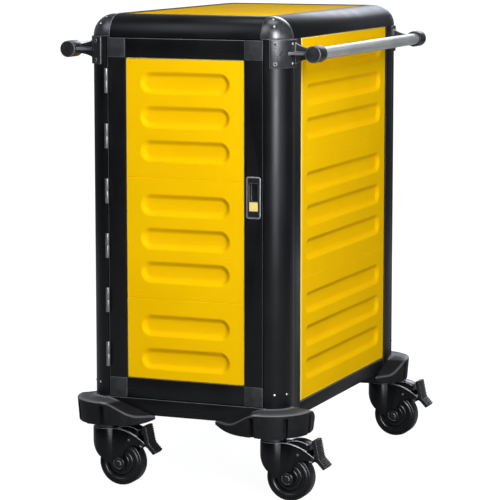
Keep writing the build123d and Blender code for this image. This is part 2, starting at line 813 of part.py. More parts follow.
saddle_inner = corner_radius + fit_gap
saddle_outer = saddle_inner + saddle_wall
saddle_sweep = 90 - saddle_start
sleeve_start = end_cap_depth - handle_end
sleeve_mid = sleeve_start + sleeve_length / 2
post_centre = (post_x, -post_y)
with BuildPart() as handle_brackets:
    with BuildSketch(Plane.XY.offset(handle_height - saddle_height / 2)):
        with BuildLine():
            inner_arc = CenterArc(post_centre, saddle_inner, -saddle_sweep, saddle_sweep)
            outer_arc = CenterArc(post_centre, saddle_outer, -saddle_sweep, saddle_sweep)
            Line(inner_arc @ 0, outer_arc @ 0)
            flat_end = saddle_flat - post_y
            flat_inner = (post_x + saddle_inner, flat_end)
            flat_outer = (post_x + saddle_outer, flat_end)
            Polyline(inner_arc @ 1, flat_inner, flat_outer, outer_arc @ 1)
        make_face()
    extrude(amount=saddle_height)
    # level fin and flared web of the arm
    with BuildSketch(Plane.XY.offset(handle_height - arm_thickness / 2)):
        with Locations(((post_x + handle_x) / 2, sleeve_mid)):
            Rectangle(handle_x - post_x, arm_width)
    extrude(amount=arm_thickness)
    with BuildSketch(facing_front(sleeve_mid + web_offset + web_thickness / 2)):
        with BuildLine():
            root_x = side_x
            web_mid_x = (side_x + handle_x) / 2
            upper = ThreePointArc(
                (root_x, handle_height + web_root_height / 2),
                (web_mid_x, handle_height + web_tip_height / 2 + 1),
                (handle_x, handle_height + web_tip_height / 2),
            )
            lower = ThreePointArc(
                (root_x, handle_height - web_root_height / 2),
                (web_mid_x, handle_height - web_tip_height / 2 - 1),
                (handle_x, handle_height - web_tip_height / 2),
            )
            Line(upper @ 0, lower @ 0)
            Line(upper @ 1, lower @ 1)
        make_face()
    extrude(amount=web_thickness)
    # sleeve round the end of the tube
    with BuildSketch(facing_back(sleeve_start)):
        with Locations((-handle_x, handle_height)):
            Circle(sleeve_radius)
    extrude(amount=sleeve_length)
    with BuildSketch(facing_back(sleeve_start)):
        with Locations((-handle_x, handle_height)):
            Circle(tube_radius + running_fit)
    extrude(amount=sleeve_length, mode=Mode.SUBTRACT)
    # room for the post
    with BuildSketch(Plane.XY.offset(handle_height - saddle_height)):
        with Locations(post_centre):
            Circle(saddle_inner)
            Rectangle(saddle_inner, corner_radius, align=(Align.MIN, Align.MIN))
    extrude(amount=2 * saddle_height, mode=Mode.SUBTRACT)
    mirror(about=Plane.YZ)
    mirror(about=Plane.XZ)
handle_brackets.part.label = "handle_brackets"
export_step(handle_brackets.part, "parts/handle_brackets.step")

with BuildPart() as handle_end_caps:
    with BuildSketch(facing_back(-handle_end)):
        with Locations((-handle_x, handle_height)):
            Circle(sleeve_radius)
    extrude(amount=end_cap_depth)
    chamfer(handle_end_caps.faces().sort_by(Axis.Y)[0].edges(), length=end_cap_depth / 3)
    mirror(about=Plane.YZ)
    mirror(about=Plane.XZ)
handle_end_caps.part.label = "handle_end_caps"
export_step(handle_end_caps.part, "parts/handle_end_caps.step")

# Screws of the brackets and the ball corners, and rivets near the feet of the posts
with BuildPart() as frame_fasteners:
    for angle in (front_fastener_angle, side_fastener_angle):
        for rise in (-screw_rise, screw_rise):
            with BuildSketch(on_post(angle, saddle_outer, handle_height + rise)):
                Circle(screw_radius)
            extrude(amount=screw_head)
    for rise in (35, 60):
        with BuildSketch(on_cap(front_fastener_angle, rise)):
            Circle(cap_screw_radius)
        extrude(amount=cap_screw_head)
    for angle in (front_fastener_angle, side_rivet_angle):
        with BuildSketch(on_post(angle, corner_radius, rivet_height)):
            Circle(rivet_radius)
        extrude(amount=rivet_head)
    mirror(about=Plane.YZ)
    mirror(about=Plane.XZ)
frame_fasteners.part.label = "frame_fasteners"
export_step(frame_fasteners.part, "parts/frame_fasteners.step")

# Corner bumpers: a round collar under each post with a wing along both faces of the cabinet
rim_top = collar_top - rim_drop
wall_foot = wall_lean * bumper_reach


def wing_section(plane, along):
    """Cross-section of a bumper's wing at a share of the way from the collar to the tip."""
    reach = (bumper_reach + wing_step) * max(1 - along**2, wing_tip_share)
    face_top = collar_top + wing_step - wing_fall * along
    dip = sin(radians(90 * min(1, along / rim_sweep))) ** 2
    rim = rim_top + wing_step - (wing_fall - rim_drop) * dip
    low = bumper_bottom + 2 * wing_step + wing_tip_rise * along**4
    with BuildSketch(plane) as section:
        with BuildLine():
            wall = [(reach, rim), (wall_lean * reach, low)]
            Polyline((fit_gap, face_top), *wall, (fit_gap, low), close=True)
        make_face()
        outer = section.vertices().sort_by(Axis.X)[2:]
        fillet(outer, radius=rim_round * reach / bumper_reach)
    return section.sketch


wing_shares = [(1 + wing_lap) * step / (wing_sections - 1) - wing_lap for step in range(wing_sections)]
front_wing = []
side_wing = []
for share in wing_shares:
    front_place = (post_x - share * wing_run, front_y, 0)
    side_place = (side_x, share * wing_run - post_y, 0)
    front_wing.append(wing_section(Plane(front_place, x_dir=(0, -1, 0), z_dir=(-1, 0, 0)), share))
    side_wing.append(wing_section(Plane(side_place, x_dir=(1, 0, 0), z_dir=(0, -1, 0)), share))
with BuildPart() as corner_bumpers:
    with BuildSketch(facing_front(-post_y, post_x)) as collar:
        with BuildLine():
            Polyline(
                (0, bumper_bottom),
                (corner_radius + wall_foot, bumper_bottom),
                (bumper_radius, rim_top),
                (corner_radius, collar_top),
                (0, collar_top),
                close=True,
            )
        make_face()
        fillet(collar.vertices().sort_by(Axis.X)[3:], radius=rim_round)
    revolve(axis=Axis((post_x, -post_y, 0), (0, 0, -1)), revolution_arc=90)
    loft(front_wing)
    loft(side_wing)
    with BuildSketch(Plane.XY.offset(bumper_bottom)):
        with Locations(post_centre):
            Circle(bumper_foot)
    extrude(amount=frame_bottom - bumper_bottom)
    # room for the cabinet, which stands on the bumpers
    with BuildSketch(Plane.XY.offset(frame_bottom)):
        RectangleRounded(cabinet_width + 2 * fit_gap, cabinet_depth + 2 * fit_gap, corner_radius + fit_gap)
    extrude(amount=2 * wing_fall, mode=Mode.SUBTRACT)
    mirror(about=Plane.YZ)
    mirror(about=Plane.XZ)
    # upright grooves in the collars' walls, turned a quarter from corner to corner
    groove_cut = 2 * (groove_depth + bumper_reach - wall_foot)
    for quarter, (side_sign, end_sign) in enumerate(((1, -1), (1, 1), (-1, 1), (-1, -1))):
        groove_start = 90 * quarter - groove_spread
        with Locations((side_sign * post_x, end_sign * post_y, bumper_bottom + groove_height / 2)):
            with PolarLocations(bumper_radius, 3, groove_start, groove_spread, endpoint=True):
                Box(groove_cut, groove_width, groove_height, mode=Mode.SUBTRACT)
corner_bumpers.part.label = "corner_bumpers"
export_step(corner_bumpers.part, "parts/corner_bumpers.step")

# Castor plates with swivel head and king pin
swivel_low = fork_top + moving_gap
pin_low = fork_top - crown_wall - moving_gap
plate_low = bumper_bottom - castor_plate_depth
with BuildPart() as castor_plates:
    for side_sign, end_sign in corner_names.values():
        spot = (side_sign * castor_x, end_sign * castor_y)
        with BuildSketch(Plane.XY.offset(plate_low)):
            with Locations(spot):
                RectangleRounded(castor_plate_size, castor_plate_size, castor_plate_depth)
        extrude(amount=castor_plate_depth)
        with BuildSketch(Plane.XY.offset(swivel_low)):
            with Locations(spot):
                Circle(swivel_radius)
        extrude(amount=plate_low - swivel_low)
        with BuildSketch(Plane.XY.offset(pin_low)):
            with Locations(spot):
                Circle(king_pin_radius)
        extrude(amount=swivel_low - pin_low)
castor_plates.part.label = "castor_plates"
export_step(castor_plates.part, "parts/castor_plates.step")

# Four castors: fork with axle bolt, wheel hub, tyre and brake pedal
fork_inner = fork_half_width - fork_wall
barrel_half = fork_inner - moving_gap
fork_front = fork_head_radius
fork_tip = 2 * pedal_pin_radius
fork_end = pedal_pivot_x + fork_tip
axle_z = wheel_radius
arm_x = castor_trail + fork_boss
hood_end = pedal_pivot_x - pedal_barrel_radius - 1
for corner, (side_sign, end_sign) in corner_names.items():
    swivel_x = side_sign * castor_x
    swivel_y = end_sign * castor_y
    axle_x = swivel_x + castor_trail
    pivot_x = swivel_x + pedal_pivot_x
    with BuildPart() as castor_fork:
        with BuildSketch(Plane.XY):
            with Locations((swivel_x, swivel_y)):
                from_head = (Align.MIN, Align.CENTER)
                Circle(fork_head_radius)
                Rectangle(fork_end, 2 * fork_half_width, align=from_head)
                Circle(fork_head_radius - fork_wall, mode=Mode.SUBTRACT)
                Rectangle(fork_end, 2 * fork_inner, align=from_head, mode=Mode.SUBTRACT)
        extrude(amount=fork_top)
        with BuildSketch(Plane.XY.offset(fork_top - crown_wall)):
            with Locations((swivel_x, swivel_y)):
                Circle(fork_head_radius)
                Rectangle(hood_start + fork_wall, 2 * fork_half_width, align=from_head)
        extrude(amount=crown_wall)
        # side view of the fork
        with BuildSketch(facing_front(swivel_y + 2 * fork_half_width, swivel_x)):
            with BuildLine():
                boss = CenterArc((castor_trail, axle_z), fork_boss, -145, 145)
                arm = Polyline(boss @ 1, (arm_x, arch_height - fork_tip))
                tip = CenterArc((pedal_pivot_x, pedal_pivot_z), fork_tip, -90, 150)
                Polyline(arm @ 1, (arm_x + fork_tip, arch_height), tip @ 0)
                back_mid = ((pedal_pivot_x + castor_trail) / 2, fork_top - fork_boss / 2)
                back = ThreePointArc(tip @ 1, back_mid, (castor_trail - fork_tip, fork_top))
                shoulder = (-fork_front, fork_top - fork_shoulder)
                front = Polyline(back @ 1, (-fork_front, fork_top), shoulder)
                nose_mid = (fork_tip - fork_front, arch_height - fork_tip / 2)
                nose = ThreePointArc(front @ 1, nose_mid, (-fork_tip, axle_z + fork_boss))
                Line(nose @ 1, boss @ 0)
            make_face()
        extrude(amount=4 * fork_half_width, mode=Mode.INTERSECT)
        # domed hood between the arms, behind the swivel head
        with BuildSketch(facing_front(swivel_y + fork_inner + running_fit, swivel_x)):
            with BuildLine():
                hood_mid = ((hood_start + hood_end) / 2, fork_top + hood_rise)
                dome = ThreePointArc((hood_start, fork_top), hood_mid, (hood_end, fork_top - 1))
                Polyline(dome @ 1, (hood_end, fork_top - fork_boss), (hood_start, fork_top - crown_wall))
                Line((hood_start, fork_top - crown_wall), dome @ 0)
            make_face()
        extrude(amount=2 * (fork_inner + running_fit))
        with Locations((swivel_x, swivel_y, fork_top)):
            Cylinder(king_pin_radius + running_fit, 4 * crown_wall, mode=Mode.SUBTRACT)
        with Locations((axle_x, swivel_y, axle_z)):
            axle_hole = axle_radius + running_fit
            Cylinder(axle_hole, 4 * fork_half_width, rotation=(90, 0, 0), mode=Mode.SUBTRACT)
        with Locations((pivot_x, swivel_y, pedal_pivot_z)):
            pin_hole = pedal_pin_radius + running_fit
            Cylinder(pin_hole, 4 * fork_half_width, rotation=(90, 0, 0), mode=Mode.SUBTRACT)
        # axle bolt with a head on each side
        with Locations((axle_x, swivel_y, axle_z)):
            Cylinder(axle_radius, 2 * (fork_half_width + axle_head_depth), rotation=(90, 0, 0))
            for side in (-1, 1):
                with Locations((0, side * (fork_half_width + running_fit + axle_head_depth / 2), 0)):
                    Cylinder(axle_head_radius, axle_head_depth, rotation=(90, 0, 0))
    castor_fork.part.label = f"castor_fork_{corner}"
    export_step(castor_fork.part, f"parts/castor_fork_{corner}.step")

    with BuildPart() as castor_hub:
        with Locations((axle_x, swivel_y, axle_z)):
            Cylinder(hub_radius, hub_width, rotation=(90, 0, 0))
            Cylinder(hub_boss_radius, 2 * barrel_half, rotation=(90, 0, 0))
            Cylinder(axle_radius + running_fit, 2 * fork_inner, rotation=(90, 0, 0), mode=Mode.SUBTRACT)
    castor_hub.part.label = f"castor_hub_{corner}"
    export_step(castor_hub.part, f"parts/castor_hub_{corner}.step")

    with BuildPart() as castor_tyre:
        with Locations((axle_x, swivel_y, axle_z)):
            Cylinder(wheel_radius, tyre_width, rotation=(90, 0, 0))
        fillet(castor_tyre.edges().filter_by(GeomType.CIRCLE), radius=tyre_round)
        with Locations((axle_x, swivel_y, axle_z)):
            Cylinder(hub_radius + running_fit, tyre_width, rotation=(90, 0, 0), mode=Mode.SUBTRACT)
    castor_tyre.part.label = f"castor_tyre_{corner}"
    export_step(castor_tyre.part, f"parts/castor_tyre_{corner}.step")

    with BuildPart() as brake_pedal:
        with BuildSketch(facing_front(swivel_y + pedal_width / 2, pivot_x, pedal_pivot_z)) as pedal_side:
            with BuildLine():
                Polyline((pedal_back, pedal_rise), (pedal_knee, 0), (pedal_reach, -pedal_drop))
            trace(line_width=pedal_plate)
            fillet(pedal_side.vertices().group_by(Axis.Y)[-1], radius=pedal_plate / 4)
        extrude(amount=pedal_width)
        with BuildSketch(facing_front(swivel_y + barrel_half, pivot_x, pedal_pivot_z)):
            with Locations((pedal_knee / 2, 0)):
                Rectangle(pedal_knee, pedal_plate)
        extrude(amount=2 * barrel_half)
        with Locations((pivot_x, swivel_y, pedal_pivot_z)):
            Cylinder(pedal_barrel_radius, 2 * barrel_half, rotation=(90, 0, 0))
            Cylinder(pedal_pin_radius, 2 * fork_half_width, rotation=(90, 0, 0))
    brake_pedal.part.label = f"brake_pedal_{corner}"
    export_step(brake_pedal.part, f"parts/brake_pedal_{corner}.step")

# Control panel at the rear: a plate with a box behind it
switch_slot = 2 * (switch_radius + moving_gap)
with BuildPart() as control_panel:
    with BuildSketch(facing_back(control_face)):
        with Locations((0, control_z)):
            RectangleRounded(control_width, control_height, 2 * control_proud)
    extrude(amount=control_proud)
    box_width = control_width - 6 * control_box_wall
    box_height = control_height - 6 * control_box_wall
    with BuildSketch(facing_front(control_face)):
        with Locations((0, control_z)):
            Rectangle(box_width, box_height)
    extrude(amount=control_box_depth)
    with BuildSketch(facing_front(control_face)):
        with Locations((0, control_z)):
            Rectangle(box_width - 2 * control_box_wall, box_height - 2 * control_box_wall)
    extrude(amount=control_box_depth - control_box_wall, mode=Mode.SUBTRACT)
    with Locations((knob_x, control_face, control_z)):
        shaft_hole = knob_shaft_radius + running_fit
        Cylinder(shaft_hole, 4 * control_proud, rotation=(90, 0, 0), mode=Mode.SUBTRACT)
    with Locations((switch_x, control_face, control_z)):
        Box(switch_width + 2 * moving_gap, 4 * control_proud, switch_slot, mode=Mode.SUBTRACT)
    with Locations((inlet_x, control_face, control_z)):
        inlet_hole = (inlet_body_width + 2 * fit_gap, 4 * control_proud, inlet_body_height + 2 * fit_gap)
        Box(*inlet_hole, mode=Mode.SUBTRACT)
control_panel.part.label = "control_panel"
export_step(control_panel.part, "parts/control_panel.step")

plate_face = control_face + control_proud
with BuildPart() as thermostat_knob:
    with BuildSketch(facing_back(plate_face + moving_gap)):
        with Locations((-knob_x, control_z)):
            Circle(knob_radius)
    extrude(amount=knob_depth, taper=6)
    with Locations((knob_x, plate_face + knob_depth, control_z + knob_radius / 2)):
        Box(2, 3, knob_radius, mode=Mode.SUBTRACT)
    with Locations((knob_x, plate_face - control_proud, control_z)):
        Cylinder(knob_shaft_radius, 4 * control_proud, rotation=(90, 0, 0))
thermostat_knob.part.label = "thermostat_knob"
export_step(thermostat_knob.part, "parts/thermostat_knob.step")

# Rocker in its off position: a drum about its own axis, cut to two flats that meet at a shallow angle
switch_place = (switch_x - switch_width / 2, plate_face - switch_sink, control_z)
switch_tilt = (0, cos(radians(switch_angle)), sin(radians(switch_angle)))
flat_rise = 2 * switch_radius * tan(radians(switch_angle))
with BuildPart() as power_switch:
    with BuildSketch(Plane(origin=switch_place, x_dir=switch_tilt, z_dir=(1, 0, 0))):
        Circle(switch_radius)
        with BuildLine():
            Polyline(
                (switch_radius / 2, 0),
                (switch_radius / 2 + flat_rise, 2 * switch_radius),
                (3 * switch_radius, 0),
                (switch_radius / 2 + flat_rise, -2 * switch_radius),
                close=True,
            )
        make_face(mode=Mode.SUBTRACT)
    extrude(amount=switch_width)
power_switch.part.label = "power_switch"
export_step(power_switch.part, "parts/power_switch.step")

# Mains inlet: a square flange, a socket body and its pins
with BuildPart() as power_inlet:
    with BuildSketch(facing_back(plate_face)):
        with Locations((-inlet_x, control_z)):
            RectangleRounded(inlet_size, inlet_size, 2 * inlet_wall)
    extrude(amount=inlet_proud)
    with BuildSketch(facing_front(plate_face)):
        with Locations((inlet_x, control_z)):
            Rectangle(inlet_body_width, inlet_body_height)
    extrude(amount=inlet_body_depth)
    with BuildSketch(facing_front(plate_face + inlet_proud)):
        with Locations((inlet_x, control_z)):
            mouth_width = inlet_body_width - 2 * inlet_wall
            mouth_height = inlet_body_height - 2 * inlet_wall
            RectangleRounded(mouth_width, mouth_height, inlet_wall)
    extrude(amount=inlet_body_depth + inlet_proud - inlet_wall, mode=Mode.SUBTRACT)
    with BuildSketch(facing_back(plate_face - inlet_body_depth + inlet_wall)):
        with Locations((-inlet_x, control_z)):
            with Locations((-pin_pitch, 0), (0, pin_pitch / 2), (pin_pitch, 0)):
                Circle(pin_radius)
    extrude(amount=pin_length)
power_inlet.part.label = "power_inlet"
export_step(power_inlet.part, "parts/power_inlet.step")
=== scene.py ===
# Looks of the heated food trolley: softened frame profiles, pressed yellow panels, moulded corners,
# handles, latch and castors, with their finishes, a pale floor, studio light and a camera.
import json
from itertools import product
from math import cos, pi, radians, sin

import bmesh
import bpy
from mathutils import Matrix, Vector

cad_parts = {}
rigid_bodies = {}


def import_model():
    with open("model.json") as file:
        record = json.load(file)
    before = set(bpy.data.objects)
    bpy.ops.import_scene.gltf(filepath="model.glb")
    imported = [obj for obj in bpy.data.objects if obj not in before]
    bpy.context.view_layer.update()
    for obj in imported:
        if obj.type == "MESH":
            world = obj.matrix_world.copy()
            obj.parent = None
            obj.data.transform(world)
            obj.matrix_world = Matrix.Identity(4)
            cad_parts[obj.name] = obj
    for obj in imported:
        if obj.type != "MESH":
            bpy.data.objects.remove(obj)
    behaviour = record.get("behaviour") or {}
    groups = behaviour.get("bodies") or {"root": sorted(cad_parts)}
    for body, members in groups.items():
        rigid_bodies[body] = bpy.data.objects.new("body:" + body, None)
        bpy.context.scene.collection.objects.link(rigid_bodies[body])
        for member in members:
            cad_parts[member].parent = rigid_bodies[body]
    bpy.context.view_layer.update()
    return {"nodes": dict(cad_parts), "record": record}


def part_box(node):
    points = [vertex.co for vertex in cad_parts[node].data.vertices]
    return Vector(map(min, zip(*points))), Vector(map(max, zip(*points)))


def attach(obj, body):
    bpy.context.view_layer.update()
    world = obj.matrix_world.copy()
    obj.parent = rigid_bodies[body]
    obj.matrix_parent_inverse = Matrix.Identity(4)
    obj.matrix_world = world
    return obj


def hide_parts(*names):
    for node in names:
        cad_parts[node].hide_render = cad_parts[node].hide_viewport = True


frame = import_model()
nodes = frame["nodes"]
node_slot = {entry["node"]: entry["material_slot"] for entry in frame["record"]["subparts"]}
corners = {"front_left": (-1, -1), "front_right": (1, -1), "rear_left": (-1, 1), "rear_right": (1, 1)}

# Places and sizes that the solids give, in metres
MM = 0.001
POST_X, POST_Y, POST_RADIUS = 0.192, 0.348, 0.050
BALL_Z, HANDLE_Z, SADDLE_RADIUS = 1.040, 1.008, 0.0542
SIDE_X, FRONT_Y = 0.242, 0.398
BUMPER_TOP_Z, BUMPER_RIM_Z, COLLAR_RADIUS = 0.2005, 0.2023, 0.094
WING_RUN, WING_REACH, WING_FALL = 0.117, 0.0453, 0.031
LATCH_X, LATCH_Z = 0.1678, 0.687
CASTOR_X, CASTOR_Y = 0.209, 0.374
AXLE_X, AXLE_Z = 0.042, 0.0535
PIVOT_X, PIVOT_Z = 0.097, 0.100


# Finishes
class Socket:
    """A socket of a node tree that can be reckoned with."""

    def __init__(self, finish, socket):
        self.finish = finish
        self.socket = socket

    def reckon(self, operation, *values):
        return self.finish.node("ShaderNodeMath", {"operation": operation}, *values)

    def __add__(self, other):
        return self.reckon("ADD", self, other)

    def __radd__(self, other):
        return self.reckon("ADD", other, self)

    def __sub__(self, other):
        return self.reckon("SUBTRACT", self, other)

    def __rsub__(self, other):
        return self.reckon("SUBTRACT", other, self)

    def __mul__(self, other):
        return self.reckon("MULTIPLY", self, other)

    def __rmul__(self, other):
        return self.reckon("MULTIPLY", other, self)


class Nodes:
    """A node tree that nodes are added to."""

    def __init__(self, tree):
        self.tree = tree

    def node(self, kind, settings, *values, out=0, **named):
        made = self.tree.nodes.new(kind)
        for setting, value in settings.items():
            if setting == "stops":
                ramp = made.color_ramp.elements
                while len(ramp) < len(value):
                    ramp.new(0.5)
                for stop, (place, colour) in zip(ramp, value):
                    stop.position = place
                    stop.color = colour
            else:
                setattr(made, setting, value)
        sockets = [socket for socket in made.inputs if socket.enabled]
        for place, value in [*enumerate(values), *named.items()]:
            if isinstance(place, int):
                socket = sockets[place]
            else:
                wanted = place.replace("_", " ")
                socket = next(entry for entry in sockets if entry.name == wanted)
            if isinstance(value, Socket):
                self.tree.links.new(value.socket, socket)
            else:
                socket.default_value = value
        if isinstance(out, str):
            return Socket(self, made.outputs[out])
        outputs = [socket for socket in made.outputs if socket.enabled]
        return Socket(self, outputs[out])

    def between(self, value, low, high, at_low, at_high):
        """A value that goes from one level to another while the given one goes from low to high."""
        return self.node("ShaderNodeMapRange", {}, value, low, high, at_low, at_high)


class Finish(Nodes):
    """One material: a shader whose fixed sockets are set directly, and nodes for what varies."""

    def __init__(self, name, **sockets):
        self.name = name
        self.material = bpy.data.materials.new(name)
        self.material.use_nodes = True
        super().__init__(self.material.node_tree)
        self.shader = self.tree.nodes["Principled BSDF"]
        for socket, value in sockets.items():
            self.shader.inputs[socket.replace("_", " ")].default_value = value

    def place(self, stretch=(1, 1, 1)):
        """Object coordinates, drawn out along the axes."""
        spot = self.node("ShaderNodeTexCoord", {}, out=3)
        return self.node("ShaderNodeMapping", {}, Vector=spot, Scale=stretch)

    def noise(self, scale, detail=3.0, stretch=(1, 1, 1), roughness=0.5):
        spot = self.place(stretch)
        return self.node(
            "ShaderNodeTexNoise", {}, Vector=spot, Scale=scale, Detail=detail, Roughness=roughness
        )

    def cells(self, scale):
        return self.node("ShaderNodeTexVoronoi", {}, Vector=self.place(), Scale=scale)

    def tints(self, value, first, second, low=0.3, high=0.7):
        """Colours that drift from the first to the second."""
        stops = [(low, (*first, 1)), (high, (*second, 1))]
        return self.node("ShaderNodeValToRGB", {"stops": stops}, value)

    def coat(self, value, first, second, highlight_paint, painted_sheen=None):
        """Drifting colours, with a paler painted highlight colour on faces given one, and any painted
        sheen added to it.
        """
        highlight_mark = self.node("ShaderNodeAttribute", {"attribute_name": "bare_edge"}, out="Fac")
        if painted_sheen:
            highlight_mark = highlight_mark + painted_sheen(self)
        even = self.tints(value, first, second)
        mixed = self.node("ShaderNodeMix", {"data_type": "RGBA"}, Factor=highlight_mark, A=even, B=(*highlight_paint, 1))
        return self.feed("Base Color", mixed)

    def roughen(self, value, smoothest, roughest):
        """A roughness that drifts with a value."""
        return self.feed("Roughness", self.between(value, 0.3, 0.7, smoothest, roughest))

    def feed(self, socket, value):
        self.tree.links.new(value.socket, self.shader.inputs[socket])
        return self

    def relief(self, height, strength, distance):
        bump = self.node("ShaderNodeBump", {}, Strength=strength, Distance=distance, Height=height)
        return self.feed("Normal", bump)


def satin_coat(name, dark, light, rough=0.36, highlight_paint=0.3, **sockets):
    """Coated aluminium profile: even colour, faint cloudiness and a very fine peel, with a pale grey
    painted on faces given a painted highlight.
    """
    finish = Finish(name, **sockets)
    clouds = finish.noise(14.0, 4.0)
    peel = finish.noise(1300.0, 2.0)
    finish.coat(clouds, dark, light, grey(highlight_paint))
    finish.roughen(clouds, rough - 0.03, rough + 0.05)
    return finish.relief(peel, 0.10, 0.0002)


def grained(name, dark, light, grain=900.0, depth=0.35, rough=0.45, highlight_paint=0.3, painted_sheen=None, **sockets):
    """Moulded or cast piece with a leathery grain, with a pale grey painted on faces given a painted
    highlight, and any painted sheen.
    """
    finish = Finish(name, **sockets)
    pits = finish.cells(grain)
    clouds = finish.noise(60.0, 5.0)
    finish.coat(clouds, dark, light, grey(highlight_paint), painted_sheen)
    finish.roughen(clouds, rough - 0.06, rough + 0.08)
    return finish.relief(pits + finish.noise(2 * grain, 2.0) * 0.5, depth, 0.0004)


def brushed(name, dark, light, stretch, rough=0.3, metal=1.0, fine=60.0, **sockets):
    """Metal with fine lines along one axis."""
    finish = Finish(name, Metallic=metal, **sockets)
    lines = finish.noise(fine, 6.0, stretch)
    clouds = finish.noise(9.0, 3.0)
    finish.feed("Base Color", finish.tints(lines * 0.6 + clouds * 0.4, dark, light))
    finish.roughen(lines, rough - 0.05, rough + 0.07)
    return finish.relief(lines, 0.06, 0.0002)


def gloss_coat(name, dark, light, edge, rough=0.34, **sockets):
    """Smooth coloured coat with a soft peel, and a paler painted highlight colour along folded edges."""
    finish = Finish(name, **sockets)
    clouds = finish.noise(7.0, 4.0)
    peel = finish.noise(420.0, 2.0)
    finish.coat(clouds, dark, light, edge)
    finish.roughen(peel, rough - 0.03, rough + 0.05)
    return finish.relief(peel, 0.05, 0.0003)


def wool(name, dark, light):
    """Mineral wool: matted fibres."""
    finish = Finish(name, Roughness=0.95)
    fibres = finish.noise(160.0, 8.0, (1, 4, 1), 0.7)
    finish.feed("Base Color", finish.tints(fibres, dark, light))
    return finish.relief(fibres, 0.8, 0.002)


def bumper_painted_sheen(finish):
    """Painted sheen and highlights on a bumper's top: paler all over, most of all round its post and along
    the rims.
    """
    spot = finish.place()
    x, y, z = (finish.node("ShaderNodeSeparateXYZ", {}, spot, out=axis) for axis in range(3))
    x, y = x.reckon("ABSOLUTE", x), y.reckon("ABSOLUTE", y)
    off_x, off_y = x - POST_X, y - POST_Y
    reach = x.reckon("SQRT", off_x * off_x + off_y * off_y)
    ring = finish.between(reach, POST_RADIUS, POST_RADIUS + 12 * MM, 0.7, 0.0)
    rim = finish.between(reach, COLLAR_RADIUS - 12 * MM, COLLAR_RADIUS, 0.0, 0.36)
    on_top = finish.between(z, BUMPER_TOP_Z - MM, BUMPER_TOP_Z + MM, 0.0, 1.0)
    painted_sheen = on_top * (ring + rim + 0.16)
    for run, out in ((POST_X - x, y - FRONT_Y), (POST_Y - y, x - SIDE_X)):
        on_wing = finish.between(run, -2 * MM, 2 * MM, 0.0, 1.0)
        along = finish.between(run, 0.0, WING_RUN, 0.0, 1.0)
        wave = x.reckon("SINE", finish.between(along, 0.0, 0.7, 0.0, pi / 2))
        off_rim = z - BUMPER_RIM_Z + wave * wave * WING_FALL
        at_rim = finish.between(x.reckon("ABSOLUTE", off_rim), 1.2 * MM, 3.4 * MM, 0.27, 0.0)
        inside = out - (1.0 - along * along) * WING_REACH
        far_out = finish.between(inside, -6 * MM, -3 * MM, 0.0, 1.0)
        painted_sheen = painted_sheen + at_rim * far_out * on_wing
    return painted_sheen


def grey(level, blue=1.1):
    return (level, level * 1.02, level * blue)


# A paler yellow, painted as a highlight along the panels' folded edges
yellow_highlight = (1.0, 0.76, 0.17)
# The last grey given to the coats and grained finishes is the colour of their painted highlights
all_finishes = (
    satin_coat("frame_black", grey(0.0035), grey(0.0055), rough=0.32, Specular_IOR_Level=0.36),
    gloss_coat(
        "panel_yellow", (0.92, 0.53, 0.001), (0.96, 0.56, 0.002), yellow_highlight,
        rough=0.5, Specular_IOR_Level=0.005,
    ),
    grained("block_grey", grey(0.014), grey(0.032), grain=500.0, depth=0.3, rough=0.55),
    grained(
        "corner_black", grey(0.012), grey(0.034), grain=380.0, depth=0.4, rough=0.28,
        Specular_IOR_Level=1.0, Coat_Weight=1.0, Coat_Roughness=0.30,
    ),
    grained(
        "bracket_black", grey(0.008), grey(0.024), grain=450.0, depth=0.5, rough=0.34,
        Specular_IOR_Level=0.8,
    ),
    brushed(
        "tube_aluminium", grey(0.40, 1.04), grey(0.78, 1.04), (1, 0.01, 1),
        rough=0.38, metal=0.55, fine=280.0,
    ),
    brushed("hinge_grey", grey(0.19, 1.04), grey(0.27, 1.04), (1, 1, 0.1), rough=0.30, metal=0.6),
    brushed("fastener_steel", grey(0.72, 1.0), grey(0.86, 1.0), (1, 1, 1), rough=0.24, metal=0.5),
    grained(
        "bumper_grey", grey(0.008), grey(0.012), grain=1100.0, depth=0.06, rough=0.48,
        painted_sheen=bumper_painted_sheen, Specular_IOR_Level=0.22,
    ),
    satin_coat(
        "castor_black", grey(0.003), grey(0.005), rough=0.26, highlight_paint=0.55, Specular_IOR_Level=0.35
    ),
    brushed("castor_steel", grey(0.06, 1.03), grey(0.10, 1.03), (1, 1, 1), rough=0.24),
    grained(
        "hub_grey", grey(0.005), grey(0.008), grain=1200.0, depth=0.03, rough=0.24,
        Specular_IOR_Level=0.4,
    ),
    grained(
        "tyre_black", grey(0.005), grey(0.009), grain=1500.0, depth=0.04, rough=0.26,
        Specular_IOR_Level=0.4,
    ),
    grained("pedal_black", grey(0.005), grey(0.010), grain=1100.0, depth=0.08, rough=0.32),
    brushed(
        "liner_steel", (0.55, 0.55, 0.54), (0.62, 0.62, 0.61), (1, 1, 0.03),
        rough=0.34, metal=0.8, fine=420.0,
    ),
    wool("insulation", (0.42, 0.34, 0.18), (0.64, 0.55, 0.34)),
    grained("gasket_black", grey(0.010), grey(0.016), grain=800.0, depth=0.2, rough=0.62),
    grained(
        "bezel_grey", grey(0.05, 1.06), grey(0.08, 1.06), grain=1500.0, depth=0.1, rough=0.30, highlight_paint=0.70
    ),
    grained("latch_dark", grey(0.008), grey(0.014), grain=1300.0, depth=0.2, rough=0.38, highlight_paint=0.45),
    gloss_coat("button_yellow", (0.90, 0.68, 0.20), (0.96, 0.75, 0.26), yellow_highlight, rough=0.30),
    brushed("heater_steel", (0.10, 0.085, 0.075), (0.20, 0.175, 0.16), (1, 1, 0.1), rough=0.42),
    satin_coat("control_grey", grey(0.085), grey(0.11), rough=0.42),
    grained("control_black", grey(0.012), grey(0.020), grain=1200.0, depth=0.2, rough=0.38),
)
finishes = {finish.name: finish for finish in all_finishes}
